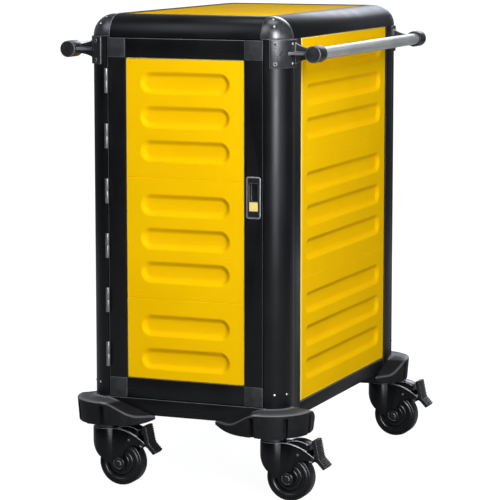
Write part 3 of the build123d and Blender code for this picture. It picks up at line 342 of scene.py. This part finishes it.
for name, piece in nodes.items():
    piece.data.materials.clear()
    piece.data.materials.append(finishes[node_slot[name]].material)


# Shaping
def leave_shaping():
    """Goes back from shaping one piece to handling whole ones."""
    if bpy.context.mode != "OBJECT":
        bpy.ops.object.mode_set(mode="OBJECT")


def take(*pieces):
    """Selects some pieces and no others, and makes the first one active."""
    bpy.ops.object.select_all(action="DESELECT")
    for piece in pieces:
        piece.select_set(True)
    bpy.context.view_layer.objects.active = pieces[0]


def begin(add, name, **settings):
    """Adds a primitive on its own and opens it for shaping."""
    leave_shaping()
    bpy.ops.object.select_all(action="DESELECT")
    add(**settings)
    piece = bpy.context.object
    piece.name = name
    bpy.ops.object.transform_apply(location=True, rotation=True, scale=True)
    bpy.ops.object.mode_set(mode="EDIT")
    return piece


def pick(test, kind="FACE"):
    """Selects the faces, edges or corners of the open piece that pass a test."""
    bpy.ops.mesh.select_mode(type=kind)
    bpy.ops.mesh.select_all(action="DESELECT")
    shape = bmesh.from_edit_mesh(bpy.context.object.data)
    group = {"FACE": shape.faces, "EDGE": shape.edges, "VERT": shape.verts}[kind]
    for item in group:
        if test(item):
            item.select_set(True)
    shape.select_flush_mode()
    bmesh.update_edit_mesh(bpy.context.object.data)


def cut_all(spot, across):
    """Cuts edges into the whole open piece along a plane."""
    bpy.ops.mesh.select_all(action="SELECT")
    bpy.ops.mesh.bisect(plane_co=spot, plane_no=across)


def middle(edge):
    return (edge.verts[0].co + edge.verts[1].co) / 2


def modify(piece, kind, **settings):
    """Adds a modifier and applies it."""
    leave_shaping()
    made = piece.modifiers.new(kind.lower(), kind)
    for setting, value in settings.items():
        setattr(made, setting, value)
    bpy.context.view_layer.objects.active = piece
    bpy.ops.object.modifier_apply(modifier=made.name)


def close(piece, body, slot, *replaced, angle=30):
    """Finishes a piece: shading, finish, the body it rides on and the nodes it stands for."""
    leave_shaping()
    take(piece)
    bpy.ops.object.transform_apply(location=True, rotation=True, scale=True)
    bpy.ops.object.shade_smooth_by_angle(angle=radians(angle))
    piece.data.materials.clear()
    piece.data.materials.append(finishes[slot].material)
    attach(piece, body)
    if replaced:
        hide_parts(*replaced)
    return piece


def paint_highlights(piece, highlight_amount):
    """Notes on each face how much painted highlight it gets."""
    leave_shaping()
    highlight_mark = piece.data.attributes.new("bare_edge", "FLOAT", "FACE")
    for face in piece.data.polygons:
        highlight_mark.data[face.index].value = highlight_amount(face)


def no_highlight(spot, out):
    return 0.0


def softened(node, body, width, segments=2, angle=35, edge_highlight=None, face_highlight=no_highlight, cutter=None, clamp=True):
    """A copy of a node whose sharp edges are rounded off; two functions of a face's place and facing may
    say how much painted highlight each rounded edge gets and how much each face between them gets. A
    cutter is taken away first."""
    take(nodes[node])
    bpy.ops.object.duplicate()
    piece = bpy.context.object
    piece.name = f"{node}_soft"
    bpy.ops.object.parent_clear(type="CLEAR_KEEP_TRANSFORM")
    bpy.ops.object.mode_set(mode="EDIT")
    bpy.ops.mesh.select_all(action="SELECT")
    bpy.ops.mesh.customdata_custom_splitnormals_clear()
    bpy.ops.mesh.remove_doubles(threshold=0.02 * MM)
    bpy.ops.mesh.dissolve_limited(angle_limit=radians(1))
    if cutter:
        modify(piece, "BOOLEAN", object=cutter, operation="DIFFERENCE", solver="EXACT")
    piece.data.materials.append(piece.data.materials[0])
    modify(
        piece,
        "BEVEL",
        width=width,
        segments=segments,
        limit_method="ANGLE",
        angle_limit=radians(angle),
        use_clamp_overlap=clamp,
        material=1,
    )
    if edge_highlight:
        face_or_edge = (face_highlight, edge_highlight)
        paint_highlights(piece, lambda face: face_or_edge[face.material_index](face.center, face.normal))
    for face in piece.data.polygons:
        face.material_index = 0
    return close(piece, body, node_slot[node], node, angle=angle)


def twin(piece, name):
    """A copy of a piece, under its own name."""
    made = piece.copy()
    made.data = piece.data.copy()
    made.name = name
    bpy.context.collection.objects.link(made)
    return made


def join(pieces, name):
    """One piece out of several."""
    take(*pieces)
    bpy.ops.object.transform_apply(location=True, rotation=True, scale=True)
    if len(pieces) > 1:
        bpy.ops.object.join()
    pieces[0].name = name
    return pieces[0]


def copies(piece, places):
    """One piece out of copies of a modelled one, set at the places. The modelled one is used up."""
    leave_shaping()
    name = piece.name
    made = [twin(piece, name) for _ in places]
    for copy, place in zip(made, places):
        copy.matrix_world = place
    bpy.data.objects.remove(piece)
    return join(made, name)


def rings(*steps):
    """Insets the picked faces ring by ring: how far in, and how far out of the face, in mm."""
    for run, rise in steps:
        bpy.ops.mesh.inset(use_individual=True, thickness=run * MM, depth=rise * MM)


# Pressed panels
RECESS_HEIGHT, RECESS_PITCH, RECESS_MARGIN = 55 * MM, 77 * MM, 34 * MM
MODULE_HEIGHT, MODULE_LAP = 277.5 * MM, 5.5 * MM
SEAM_HALF, SEAM_DEPTH, SEAM_LIFT = 1.0 * MM, 0.9 * MM, 0.5 * MM
SHEET, FOLD, FOLD_ROUND = 0.8 * MM, 2.0 * MM, 0.7 * MM
SIDE_FACE, REAR_FACE, DOOR_FACE = 0.240, 0.396, 0.3955
CABINET_START, DOOR_START = 0.210 + MODULE_LAP, 0.9935 + MODULE_LAP
NARROW_RIM, WIDE_RIM = 0.5, 12
CONTROLS_FROM, CONTROLS_OPENING = 0.809, (0.232, 0.116, 0.905)
CLOSE_TO = 0.01 * MM
UPRIGHT = (pi / 2, 0, 0)
recess_slope = (
    (1, 0), (1.6, -0.25), (1.8, -0.9), (1.9, -1.5), (1.9, -1.7),
    (1.9, -1.5), (1.9, -1.1), (1.8, -0.7), (1.6, -0.35),
)


def loop(width, height, z):
    """A rectangle of edges in the open piece, facing the front."""
    bpy.ops.mesh.select_all(action="DESELECT")
    bpy.ops.mesh.primitive_plane_add(size=1, location=(0, 0, z), rotation=UPRIGHT)
    bpy.ops.transform.resize(value=(width, 1, height), center_override=(0, 0, z))
    bpy.ops.mesh.delete(type="ONLY_FACE")


def stadium(length, z):
    """The outline of a recess in the open piece: a ring that is drawn out sideways."""
    reach = RECESS_HEIGHT * 0.51
    bpy.ops.mesh.select_all(action="DESELECT")
    bpy.ops.mesh.primitive_circle_add(
        vertices=42, radius=RECESS_HEIGHT / 2, location=(0, 0, z), rotation=UPRIGHT
    )
    for side in (-1, 1):
        pick(lambda v: 0 < v.co.x * side < RECESS_HEIGHT and abs(v.co.z - z) < reach, "VERT")
        bpy.ops.transform.translate(value=(side * (length - RECESS_HEIGHT) / 2, 0, 0))


def panel(node, body, face, turn, start, rim, plain_from=2.0, opening=None):
    """Pressed sheet with soft stadium recesses, a fine seam between modules and a folded edge.
    It is drawn facing -Y and then turned about Z and moved out to its face. The rim, in mm, is how wide
    the paler strip of painted highlight along its edge is on the left and on the right; at the top and
    bottom it is 1 mm wide."""
    low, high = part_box(node)
    width, low, high = max(high.x - low.x, high.y - low.y), low.z, high.z
    length = width - 2 * RECESS_MARGIN
    pressed_to = min(high, plain_from)
    clear = RECESS_HEIGHT * 0.53
    seams = [start + module * MODULE_HEIGHT for module in range(-4, 5)]
    rows = [seam + MODULE_HEIGHT / 2 + row * RECESS_PITCH for seam in seams for row in (-1, 0, 1)]
    rows = [row for row in rows if low + clear < row < pressed_to - clear]
    seams = [seam for seam in seams if low + RECESS_HEIGHT < seam < pressed_to - RECESS_HEIGHT]
    middle_z = (low + high) / 2
    half, tall_half = width / 2 - FOLD, (high - low) / 2 - FOLD

    def on_outline(edge):
        spot = middle(edge)
        return abs(abs(spot.x) - half) < CLOSE_TO or abs(abs(spot.z - middle_z) - tall_half) < CLOSE_TO

    # Outline, opening and recesses, filled in between
    piece = begin(bpy.ops.mesh.primitive_plane_add, f"{node}_pressed", size=1, rotation=UPRIGHT)
    bpy.ops.transform.resize(value=(2 * half, 1, 2 * tall_half))
    bpy.ops.transform.translate(value=(0, 0, middle_z))
    bpy.ops.mesh.delete(type="ONLY_FACE")
    if opening:
        loop(*opening)
    for row in rows:
        stadium(length, row)
    bpy.ops.mesh.select_mode(type="EDGE")
    bpy.ops.mesh.select_all(action="SELECT")
    bpy.ops.mesh.fill(use_beauty=True)

    # Seams between the modules, and the inner line of the painted highlight strip along the edge
    for seam in seams:
        for step in (-SEAM_HALF, SEAM_HALF, 0):
            cut_all((0, 0, seam + step), (0, 0, 1))
        pick(lambda v: abs(v.co.z - seam) < CLOSE_TO, "VERT")
        bpy.ops.transform.translate(value=(0, SEAM_DEPTH, SEAM_LIFT))
    left, right, inner_tall = rim[0] * MM - half, half - rim[1] * MM, tall_half - MM
    for x in (left, right):
        cut_all((x, 0, 0), (1, 0, 0))
    for z in (middle_z - inner_tall, middle_z + inner_tall):
        cut_all((0, 0, z), (0, 0, 1))

    # Recesses, pressed in
    for row in rows:
        pick(
            lambda v: abs(v.co.z - row) < RECESS_HEIGHT * 0.51 and abs(v.co.x) < length / 2 + 0.1 * MM,
            "VERT",
        )
        bpy.ops.mesh.edge_face_add()
    pick(lambda f: f.normal.y > 0)
    bpy.ops.mesh.flip_normals()
    pick(lambda f: len(f.verts) > 20)
    rings(*recess_slope)

    # Folded edge
    pick(lambda e: e.is_boundary and on_outline(e), "EDGE")
    bpy.ops.mesh.extrude_region_move(TRANSFORM_OT_translate={"value": (0, FOLD, 0)})
    grow = ((half + FOLD) / half, 1, (tall_half + FOLD) / tall_half)
    bpy.ops.transform.resize(value=grow, center_override=(0, 0, middle_z))
    pick(lambda e: not e.is_boundary and abs(middle(e).y) < CLOSE_TO and on_outline(e), "EDGE")
    bpy.ops.mesh.bevel(offset=FOLD_ROUND, segments=2, affect="EDGES")
    modify(piece, "SOLIDIFY", thickness=SHEET, offset=-1)
    # Painted highlight: a paler strip along the edge, as wide as the rim at the sides and 1 mm at the top
    # and bottom
    paint_highlights(
        piece,
        lambda face: 0.9
        * (not left < face.center.x < right or abs(face.center.z - middle_z) > inner_tall),
    )
    piece.rotation_euler = (0, 0, turn)
    piece.location = Vector((0, -face, 0)) @ piece.rotation_euler.to_matrix().inverted()
    return close(piece, body, "panel_yellow", node)


panel("right_panel", "cabinet", SIDE_FACE, pi / 2, CABINET_START, (WIDE_RIM, NARROW_RIM))
panel("left_panel", "cabinet", SIDE_FACE, -pi / 2, CABINET_START, (NARROW_RIM, WIDE_RIM))
panel(
    "rear_panel", "cabinet", REAR_FACE, pi, CABINET_START, (NARROW_RIM, NARROW_RIM),
    CONTROLS_FROM, CONTROLS_OPENING,
)
panel("door_panel", "door", DOOR_FACE, 0, DOOR_START, (NARROW_RIM, NARROW_RIM))

# Frame, door, handles, latch, controls and bumpers, with their edges rounded off, and painted highlights
# on many of them
HIGHLIGHT_LINE_Y, HIGHLIGHT_LINE_WIDTH = 0.341, 2.4 * MM
HINGE_EDGE_X, LATCH_EDGE_X, DOOR_TOP_Z = -0.186, 0.184, 1.034


def front_edge_highlights(level, where=lambda spot: True):
    """A painted highlight on rounded edges that look to the front, where their place passes a test."""
    return lambda spot, out: level * (where(spot) and out.y < -0.1)


def post_edge_highlights(spot, out):
    """Painted highlights on the rounded edges of the posts beside the door, and fainter ones beside the
    side panels.
    """
    return 1.0 * (abs(spot.x) < 0.19) + 0.3 * (abs(spot.y) < 0.31 and abs(spot.x) > 0.2)


def bracket_edge_highlights(spot, out):
    """Painted highlights on the rounded edges of the saddles and of the arms' fins."""
    return 0.4 * (abs(spot.x) < 0.26) + 0.6 * (0.24 < abs(spot.x) < 0.285 and out.z > 0.3)


def bracket_face_highlights(spot, out):
    """Painted highlights on the ends of the saddles, and on the fins' narrow faces."""
    fin = 0.236 < abs(spot.x) < 0.285 and abs(spot.z - HANDLE_Z) < 3.5 * MM and out.y * spot.y > 0.3
    saddle_end = abs(spot.x) < 0.215 and out.x * spot.x < 0 and abs(out.x) > 0.8
    return 0.4 * fin + 0.7 * saddle_end


def bezel_edge_highlights(spot, out):
    """Painted highlight on the outer edge of the latch's bezel, and a faint one on its other rounded
    edges.
    """
    return 0.1 + 0.9 * (out.x * (spot.x - LATCH_X) + out.z * (spot.z - LATCH_Z) > 0)


# Painted highlights: the functions passed in give paler colour to rounded edges and faces, such as the top
# panel's front edge, the caps, the bottom rails' upper edges, the door's outer edges, the latch and the
# bumpers' upper rims
softened("top_panel", "cabinet", 1.2 * MM, edge_highlight=lambda spot, out: 0.8 * (spot.y < -0.2 and out.z > 0.1))
posts = softened("corner_posts", "cabinet", 0.9 * MM, edge_highlight=post_edge_highlights)
# Painted highlight: a pale line, 2.4 mm wide, cut into and painted down the sideways faces of the posts
# near the front and rear
bpy.ops.object.mode_set(mode="EDIT")
for y in (-HIGHLIGHT_LINE_Y, HIGHLIGHT_LINE_WIDTH - HIGHLIGHT_LINE_Y, HIGHLIGHT_LINE_Y - HIGHLIGHT_LINE_WIDTH, HIGHLIGHT_LINE_Y):
    cut_all((0, y, 0), (0, 1, 0))
leave_shaping()
highlight_paint = posts.data.attributes["bare_edge"]
for face in posts.data.polygons:
    off_highlight_line = abs(abs(face.center.y) - HIGHLIGHT_LINE_Y + HIGHLIGHT_LINE_WIDTH / 2)
    if abs(face.normal.x) > 0.9 and off_highlight_line < HIGHLIGHT_LINE_WIDTH / 2:
        highlight_paint.data[face.index].value = 0.25
softened("top_rails", "cabinet", 0.8 * MM)
softened("corner_caps", "cabinet", 1.1 * MM, edge_highlight=lambda spot, out: 0.6)
softened("bottom_rails", "cabinet", 0.8 * MM, edge_highlight=lambda spot, out: 0.5 * (out.z > 0.2))
softened("door_hinge_stile", "door", 1.2 * MM, edge_highlight=front_edge_highlights(0.5, lambda spot: spot.x < HINGE_EDGE_X))
softened("door_latch_stile", "door", 1.6 * MM, edge_highlight=front_edge_highlights(0.6, lambda spot: spot.x > LATCH_EDGE_X))
softened("door_rails", "door", 1.2 * MM, edge_highlight=front_edge_highlights(0.5, lambda spot: spot.z > DOOR_TOP_Z))
softened("door_corner_blocks", "door", 0.9 * MM, edge_highlight=front_edge_highlights(0.3))
softened("handle_brackets", "cabinet", 0.9 * MM, edge_highlight=bracket_edge_highlights, face_highlight=bracket_face_highlights, clamp=False)
softened("handle_end_caps", "cabinet", 1.2 * MM, edge_highlight=lambda spot, out: 0.25)
softened("hinge_post_knuckles", "cabinet", 0.5 * MM)
softened("hinge_door_knuckles", "door", 0.5 * MM)
softened("latch_bezel", "door", 1.4 * MM, 3, edge_highlight=bezel_edge_highlights)
softened("latch_housing", "door", 0.9 * MM, edge_highlight=lambda spot, out: 1.0 * (out.y < -0.2))
softened("latch_button", "latch_button", 1.0 * MM, 3)
softened("thermostat_knob", "thermostat_knob", 0.8 * MM)
softened("power_switch", "power_switch", 0.8 * MM)
softened("control_panel", "cabinet", 0.8 * MM)
softened("corner_bumpers", "cabinet", 1.5 * MM, edge_highlight=lambda spot, out: 0.3 * (out.z > 0.3))

# Screws of the brackets and ball corners, rivets near the feet of the posts, and bosses on the brackets
FRONT_ANGLE, RIVET_ANGLE, BOSS_ANGLE, SIDE_ANGLE = 29, 65, 46, 79
CAP_RISES = (35, 60)
RIVET_Z = 0.241
SADDLE_ROWS = (HANDLE_Z - 22 * MM, HANDLE_Z + 22 * MM)


def on_corners(radius, angles, heights, rises=(0,)):
    """Places on the four corners that look out at angles from the front and rises from level.
    Angles and rises are in degrees."""
    places = []
    for angle, z, rise, (side, end) in product(angles, heights, rises, corners.values()):
        turn = side * radians(angle) if end < 0 else pi - side * radians(angle)
        aim = Matrix.Rotation(turn, 4, "Z") @ Matrix.Rotation(-radians(rise), 4, "X")
        axis = Matrix.Translation((side * POST_X, end * POST_Y, z))
        places.append(axis @ aim @ Matrix.Translation((0, -radius, 0)))
    return places


def head(name, radius, height, *steps):
    """A fastener's head, standing out of the XZ plane towards -Y; its measures are in mm."""
    piece = begin(
        bpy.ops.mesh.primitive_cylinder_add, name, vertices=24, radius=radius * MM, depth=height * MM,
        location=(0, -height * MM / 2, 0), rotation=UPRIGHT,
    )
    pick(lambda f: f.normal.y < -0.9)
    rings(*steps)
    return piece


saddle_screw = head("saddle_screws", 4.4, 1.3, (0.4, 0.3), (0.9, 0.05), (0.2, -1.3))
# Painted highlight: a pale rim on each saddle screw's head
paint_highlights(saddle_screw, lambda face: 0.6 * (face.center.y < -1.35 * MM))
saddle_screws = copies(saddle_screw, on_corners(SADDLE_RADIUS, [FRONT_ANGLE], SADDLE_ROWS))
pan_screw = head("pan_screws", 2.9, 0.9, (0.4, 0.35), (0.7, 0.25), (0.7, 0.1))
pan_screws = copies(pan_screw, on_corners(SADDLE_RADIUS, [SIDE_ANGLE], SADDLE_ROWS))
cap_screw = head("cap_screws", 2.4, 0.6, (0.4, 0.25), (0.6, 0.05), (0.2, -0.4))
cap_screws = copies(cap_screw, on_corners(POST_RADIUS, [FRONT_ANGLE], [BALL_Z], CAP_RISES))
foot_rivet = head("foot_rivets", 2.6, 0.5, (0.4, 0.3), (0.6, 0.2), (0.8, 0.1))
foot_rivets = copies(foot_rivet, on_corners(POST_RADIUS, [FRONT_ANGLE, RIVET_ANGLE], [RIVET_Z]))
frame_screws = join([pan_screws, cap_screws, foot_rivets], "frame_screws")
close(frame_screws, "cabinet", "fastener_steel", "frame_fasteners")
close(saddle_screws, "cabinet", "castor_black")
boss = head("bracket_bosses", 6.0, 0.5, (0.6, 0.5), (1.2, 0), (0.5, -0.6), (1.2, 0), (0.4, 0.5))
bosses = copies(boss, on_corners(SADDLE_RADIUS, [BOSS_ANGLE], [HANDLE_Z]))
close(bosses, "cabinet", "bracket_black")

# Castors: turned sizes in mm, places on a castor in metres
WHEEL_RADIUS, TYRE_WIDTH, TYRE_ROUND = 53.5, 36.0, 5.0
HUB_RADIUS, HUB_WIDTH, HUB_RISE = 33.0, 30.0, 3.5
ARCH_RADIUS, ARCH_DEPTH = 30.0, 80.0
ARCH_X, ARCH_Z = AXLE_X + 37.5 * MM, 0.067
FORK_HALF, NUT_OUT = 22.0 * MM, 27.05 * MM
FORK_RIVET_X, FORK_RIVET_Z = 0.065, 0.109
cheeks = ((-1, 0.0), (1, pi))


def at_castor(corner, x=0.0, y=0.0, z=0.0, turn=0.0):
    """A place measured from a castor's king pin and the floor."""
    side, end = corners[corner]
    pin = Matrix.Translation((side * CASTOR_X + x, end * CASTOR_Y + y, z))
    return pin @ Matrix.Rotation(turn, 4, "Z")


def disc(name, radius, width, sides=96):
    """A wheel's blank along Y with both faces picked."""
    piece = begin(
        bpy.ops.mesh.primitive_cylinder_add, name, vertices=sides, radius=radius * MM, depth=width * MM,
        rotation=UPRIGHT,
    )
    pick(lambda f: abs(f.normal.y) > 0.9)
    return piece


def nut_glints(face):
    """Painted glints on an axle nut: the upper side of its cap and the lower side of its washer, and a
    faint one elsewhere.
    """
    sloped = -0.95 < face.normal.y < -0.2
    upward = face.normal.x + face.normal.z
    cap = sloped and face.center.y < -2.6 * MM and upward > 0.3
    washer = sloped and face.center.y > -1.75 * MM and upward < -0.3
    return 0.02 + 0.55 * cap + 0.45 * washer


def fork_edge_highlights(spot, out):
    """Painted highlights on the upper edges of a fork, most of all on the outside of its cheeks."""
    upper = out.z > 0.25 and spot.z > 0.085
    outside = abs(abs(spot.y) - CASTOR_Y) > 17 * MM
    return upper * (0.3 + 0.6 * outside)


shoulder = [radians(22.5 * step) for step in range(5)]
tyre = disc("castor_tyre", WHEEL_RADIUS, TYRE_WIDTH - 2 * TYRE_ROUND)
rings(*[
    (TYRE_ROUND * (cos(first) - cos(second)), TYRE_ROUND * (sin(second) - sin(first)))
    for first, second in zip(shoulder, shoulder[1:])
])
rings((1.0, 0), (1.0, -1.6), (0.8, 0), (2.2, 1.5), (4.5, 0), (2.0, -1.4), (4.0, -0.3))
bpy.ops.mesh.delete(type="FACE")
pick(lambda e: e.is_boundary, "EDGE")
bpy.ops.mesh.bridge_edge_loops()
hub = disc("castor_hub", HUB_RADIUS, HUB_WIDTH - 2 * HUB_RISE)
rings((2.4, 0), (0.4, 2.2), (1.8, 1.3), (6.5, 0), (0.9, -1.2), (1.0, 0), (1.2, 0.9), (6.0, 0.2))
arch = disc("fork_arch", ARCH_RADIUS, ARCH_DEPTH, 64)
nut = head("axle_nut", 13.5, 0.8, (1.4, 1.0), (5.0, 0), (0.3, 1.8), (0.9, 0.6), (2.2, 0.3))
paint_highlights(nut, nut_glints)
rivet = head("fork_rivet", 3.0, 0.7, (0.5, 0.5), (0.7, 0.3), (0.8, 0.1))
# Painted highlight: each fork rivet is painted paler all over, to show as a light dot
paint_highlights(rivet, lambda face: 0.2)
for corner in corners:
    for blank, node, slot in ((tyre, "castor_tyre", "tyre_black"), (hub, "castor_hub", "hub_grey")):
        piece = copies(twin(blank, f"{node}_turned_{corner}"), [at_castor(corner, AXLE_X, 0, AXLE_Z)])
        close(piece, f"wheel_{corner}", slot, f"{node}_{corner}")
    for blank, name, (x, y, z) in (
        (nut, "axle_nuts", (AXLE_X, NUT_OUT, AXLE_Z)),
        (rivet, "fork_rivets", (FORK_RIVET_X, FORK_HALF, FORK_RIVET_Z)),
    ):
        places = [at_castor(corner, x, cheek * y, z, turn) for cheek, turn in cheeks]
        close(copies(twin(blank, f"{name}_{corner}"), places), f"castor_{corner}", "castor_black")
    wide = twin(arch, "arch_at_castor")
    wide.matrix_world = at_castor(corner, ARCH_X, 0, ARCH_Z)
    softened(
        f"castor_fork_{corner}", f"castor_{corner}", 1.0 * MM, edge_highlight=fork_edge_highlights, cutter=wide, clamp=False
    )
    bpy.data.objects.remove(wide)
for blank in (tyre, hub, nut, rivet, arch):
    bpy.data.objects.remove(blank)

# Brake pedals with ribs across both treads, whose ends are in mm from the pivot
RIB_PITCH, RIB_HEIGHT = 5 * MM, 1.2 * MM
rib_share = (0.2, 0.65)
tread_ends = (((5, 44), (14, 0)), ((14, 0), (32, -19)))
for corner in corners:
    softened(f"brake_pedal_{corner}", f"pedal_{corner}", 1.6 * MM, 3, clamp=False)
    pivot = at_castor(corner, PIVOT_X, 0, PIVOT_Z).translation
    bpy.ops.object.mode_set(mode="EDIT")
    for first, second in tread_ends:
        start = pivot + Vector((first[0], 0, first[1])) * MM
        tread = Vector((second[0] - first[0], 0, second[1] - first[1])) * MM
        along = tread.normalized()
        outward = Vector((-tread.z, 0, tread.x)).normalized()
        ribs = int(tread.length / RIB_PITCH)
        cuts = [tread.length * (step + share) / ribs for step in range(ribs) for share in rib_share]

        def on_rib(face):
            run = (face.calc_center_median() - start).dot(along)
            facing = face.normal.dot(outward) > 0.95
            return facing and any(low < run < high for low, high in zip(cuts[::2], cuts[1::2]))

        for cut in cuts:
            pick(lambda f: (f.calc_center_median() - start).dot(outward) > 0)
            bpy.ops.mesh.bisect(plane_co=start + along * cut, plane_no=along)
        pick(on_rib)
        bpy.ops.mesh.extrude_region_shrink_fatten(TRANSFORM_OT_shrink_fatten={"value": RIB_HEIGHT})
    leave_shaping()

# Floor, light and camera
bpy.ops.object.select_all(action="DESELECT")
bpy.ops.mesh.primitive_plane_add(size=60)
floor = bpy.context.object
floor.name = "floor"
pale = Finish("floor_pale", Roughness=0.9)
pale.shader.inputs["Base Color"].default_value = (0.28, 0.29, 0.31, 1)
seen = pale.node("ShaderNodeLightPath", {})
away = pale.node("ShaderNodeVectorMath", {"operation": "LENGTH"}, pale.place(), out="Value")
glow = pale.node("ShaderNodeEmission", {}, Strength=pale.between(away, 0.5, 1.4, 1.9, 2.1))
mixed = pale.node("ShaderNodeMixShader", {}, seen * 0.5, Socket(pale, pale.shader.outputs[0]), glow)
pale.tree.links.new(mixed.socket, pale.tree.nodes["Material Output"].inputs[0])
floor.data.materials.append(pale.material)


def lamp(name, place, target, size, power, tall=None, mirrored=True, lights=True):
    """A softbox that lights the object and is mirrored in it, unless told otherwise."""
    data = bpy.data.lights.new(name, "AREA")
    data.energy = power
    data.shape = "RECTANGLE"
    data.size = size
    data.size_y = tall or size
    made = bpy.data.objects.new(name, data)
    bpy.context.collection.objects.link(made)
    made.location = place
    made.rotation_euler = (Vector(target) - Vector(place)).to_track_quat("-Z", "Y").to_euler()
    made.visible_camera = False
    made.visible_glossy = mirrored
    made.visible_diffuse = lights
    return made


lamp("key_softbox", (2.9, -3.3, 2.2), (0.1, -0.2, 0.6), 1.0, 106, 2.6)
lamp("front_softbox", (-0.2, -3.2, 3.9), (0, -0.3, 0.6), 2.4, 39, 1.2, mirrored=False)
lamp("side_softbox", (1.25, -1.3, 1.55), (0.24, -0.3, 0.7), 0.5, 19, 0.9, mirrored=False)
card = lamp("mirror_card", (2.9, -3.6, 1.9), (0.19, -0.35, 1.0), 2.2, 80, 4.2, lights=False)
card.data.color = (0.90, 0.96, 1.10)
lamp("top_softbox", (0.2, 0.0, 4.2), (0, 0, 1.0), 1.6, 16)
lamp("left_softbox", (-3.2, 0.6, 1.3), (0, 0.1, 0.6), 1.6, 50, mirrored=False)
lamp("rear_softbox", (0.2, 3.6, 1.3), (0, 0, 0.6), 1.6, 50, mirrored=False)

# What dark pieces mirror: a direction, how near to it the light begins and is full, and both strengths
reflections = (
    ((-0.15, 0.915, 0.37), 0.965, 0.995, 0.0, 4.2),
    ((-0.37, -0.58, 0.73), 0.90, 0.99, 0.0, 1.8),
    ((0.8, 0.6, 0.0), -0.3, 0.8, 0.02, 0.12),
    ((-0.7, 0.7, 0.1), 0.3, 0.9, 0.0, 0.16),
    ((0.88, -0.47, -0.1), 0.80, 0.99, 0.0, 1.7),
)
AMBIENT = 0.14
world = bpy.data.worlds.new("studio")
bpy.context.scene.world = world
world.use_nodes = True
sky = Nodes(world.node_tree)
backdrop = sky.tree.nodes["Background"]
aim = sky.node("ShaderNodeTexCoord", {})
mirrored = 0.0
for way, begins, full, least, most in reflections:
    nearness = sky.node("ShaderNodeVectorMath", {"operation": "DOT_PRODUCT"}, aim, way, out="Value")
    mirrored = mirrored + sky.between(nearness, begins, full, least, most)
camera_ray, glossy_ray, clear_ray, diffuse_ray = (
    sky.node("ShaderNodeLightPath", {}, out=ray)
    for ray in ("Is Camera Ray", "Is Glossy Ray", "Is Transmission Ray", "Is Diffuse Ray")
)
strength = camera_ray + (glossy_ray + clear_ray) * mirrored + diffuse_ray * AMBIENT
cool_or_white = sky.node(
    "ShaderNodeMix", {"data_type": "RGBA"}, Factor=camera_ray, A=(0.92, 0.96, 1.08, 1), B=(1, 1, 1, 1)
)
sky.tree.links.new(cool_or_white.socket, backdrop.inputs["Color"])
sky.tree.links.new(strength.socket, backdrop.inputs["Strength"])

LOOK_DOWN, LOOK_ROUND = 7.96, 21.94
camera = bpy.data.objects.new("camera", bpy.data.cameras.new("camera"))
bpy.context.collection.objects.link(camera)
camera.data.sensor_width = 36
camera.data.lens = 175.0
camera.location = (2.174, -5.3992, 1.3232)
camera.rotation_euler = (radians(90 - LOOK_DOWN), 0, radians(LOOK_ROUND))
camera.data.clip_end = 200
bpy.context.scene.camera = camera
bpy.context.scene.view_settings.view_transform = "Standard"
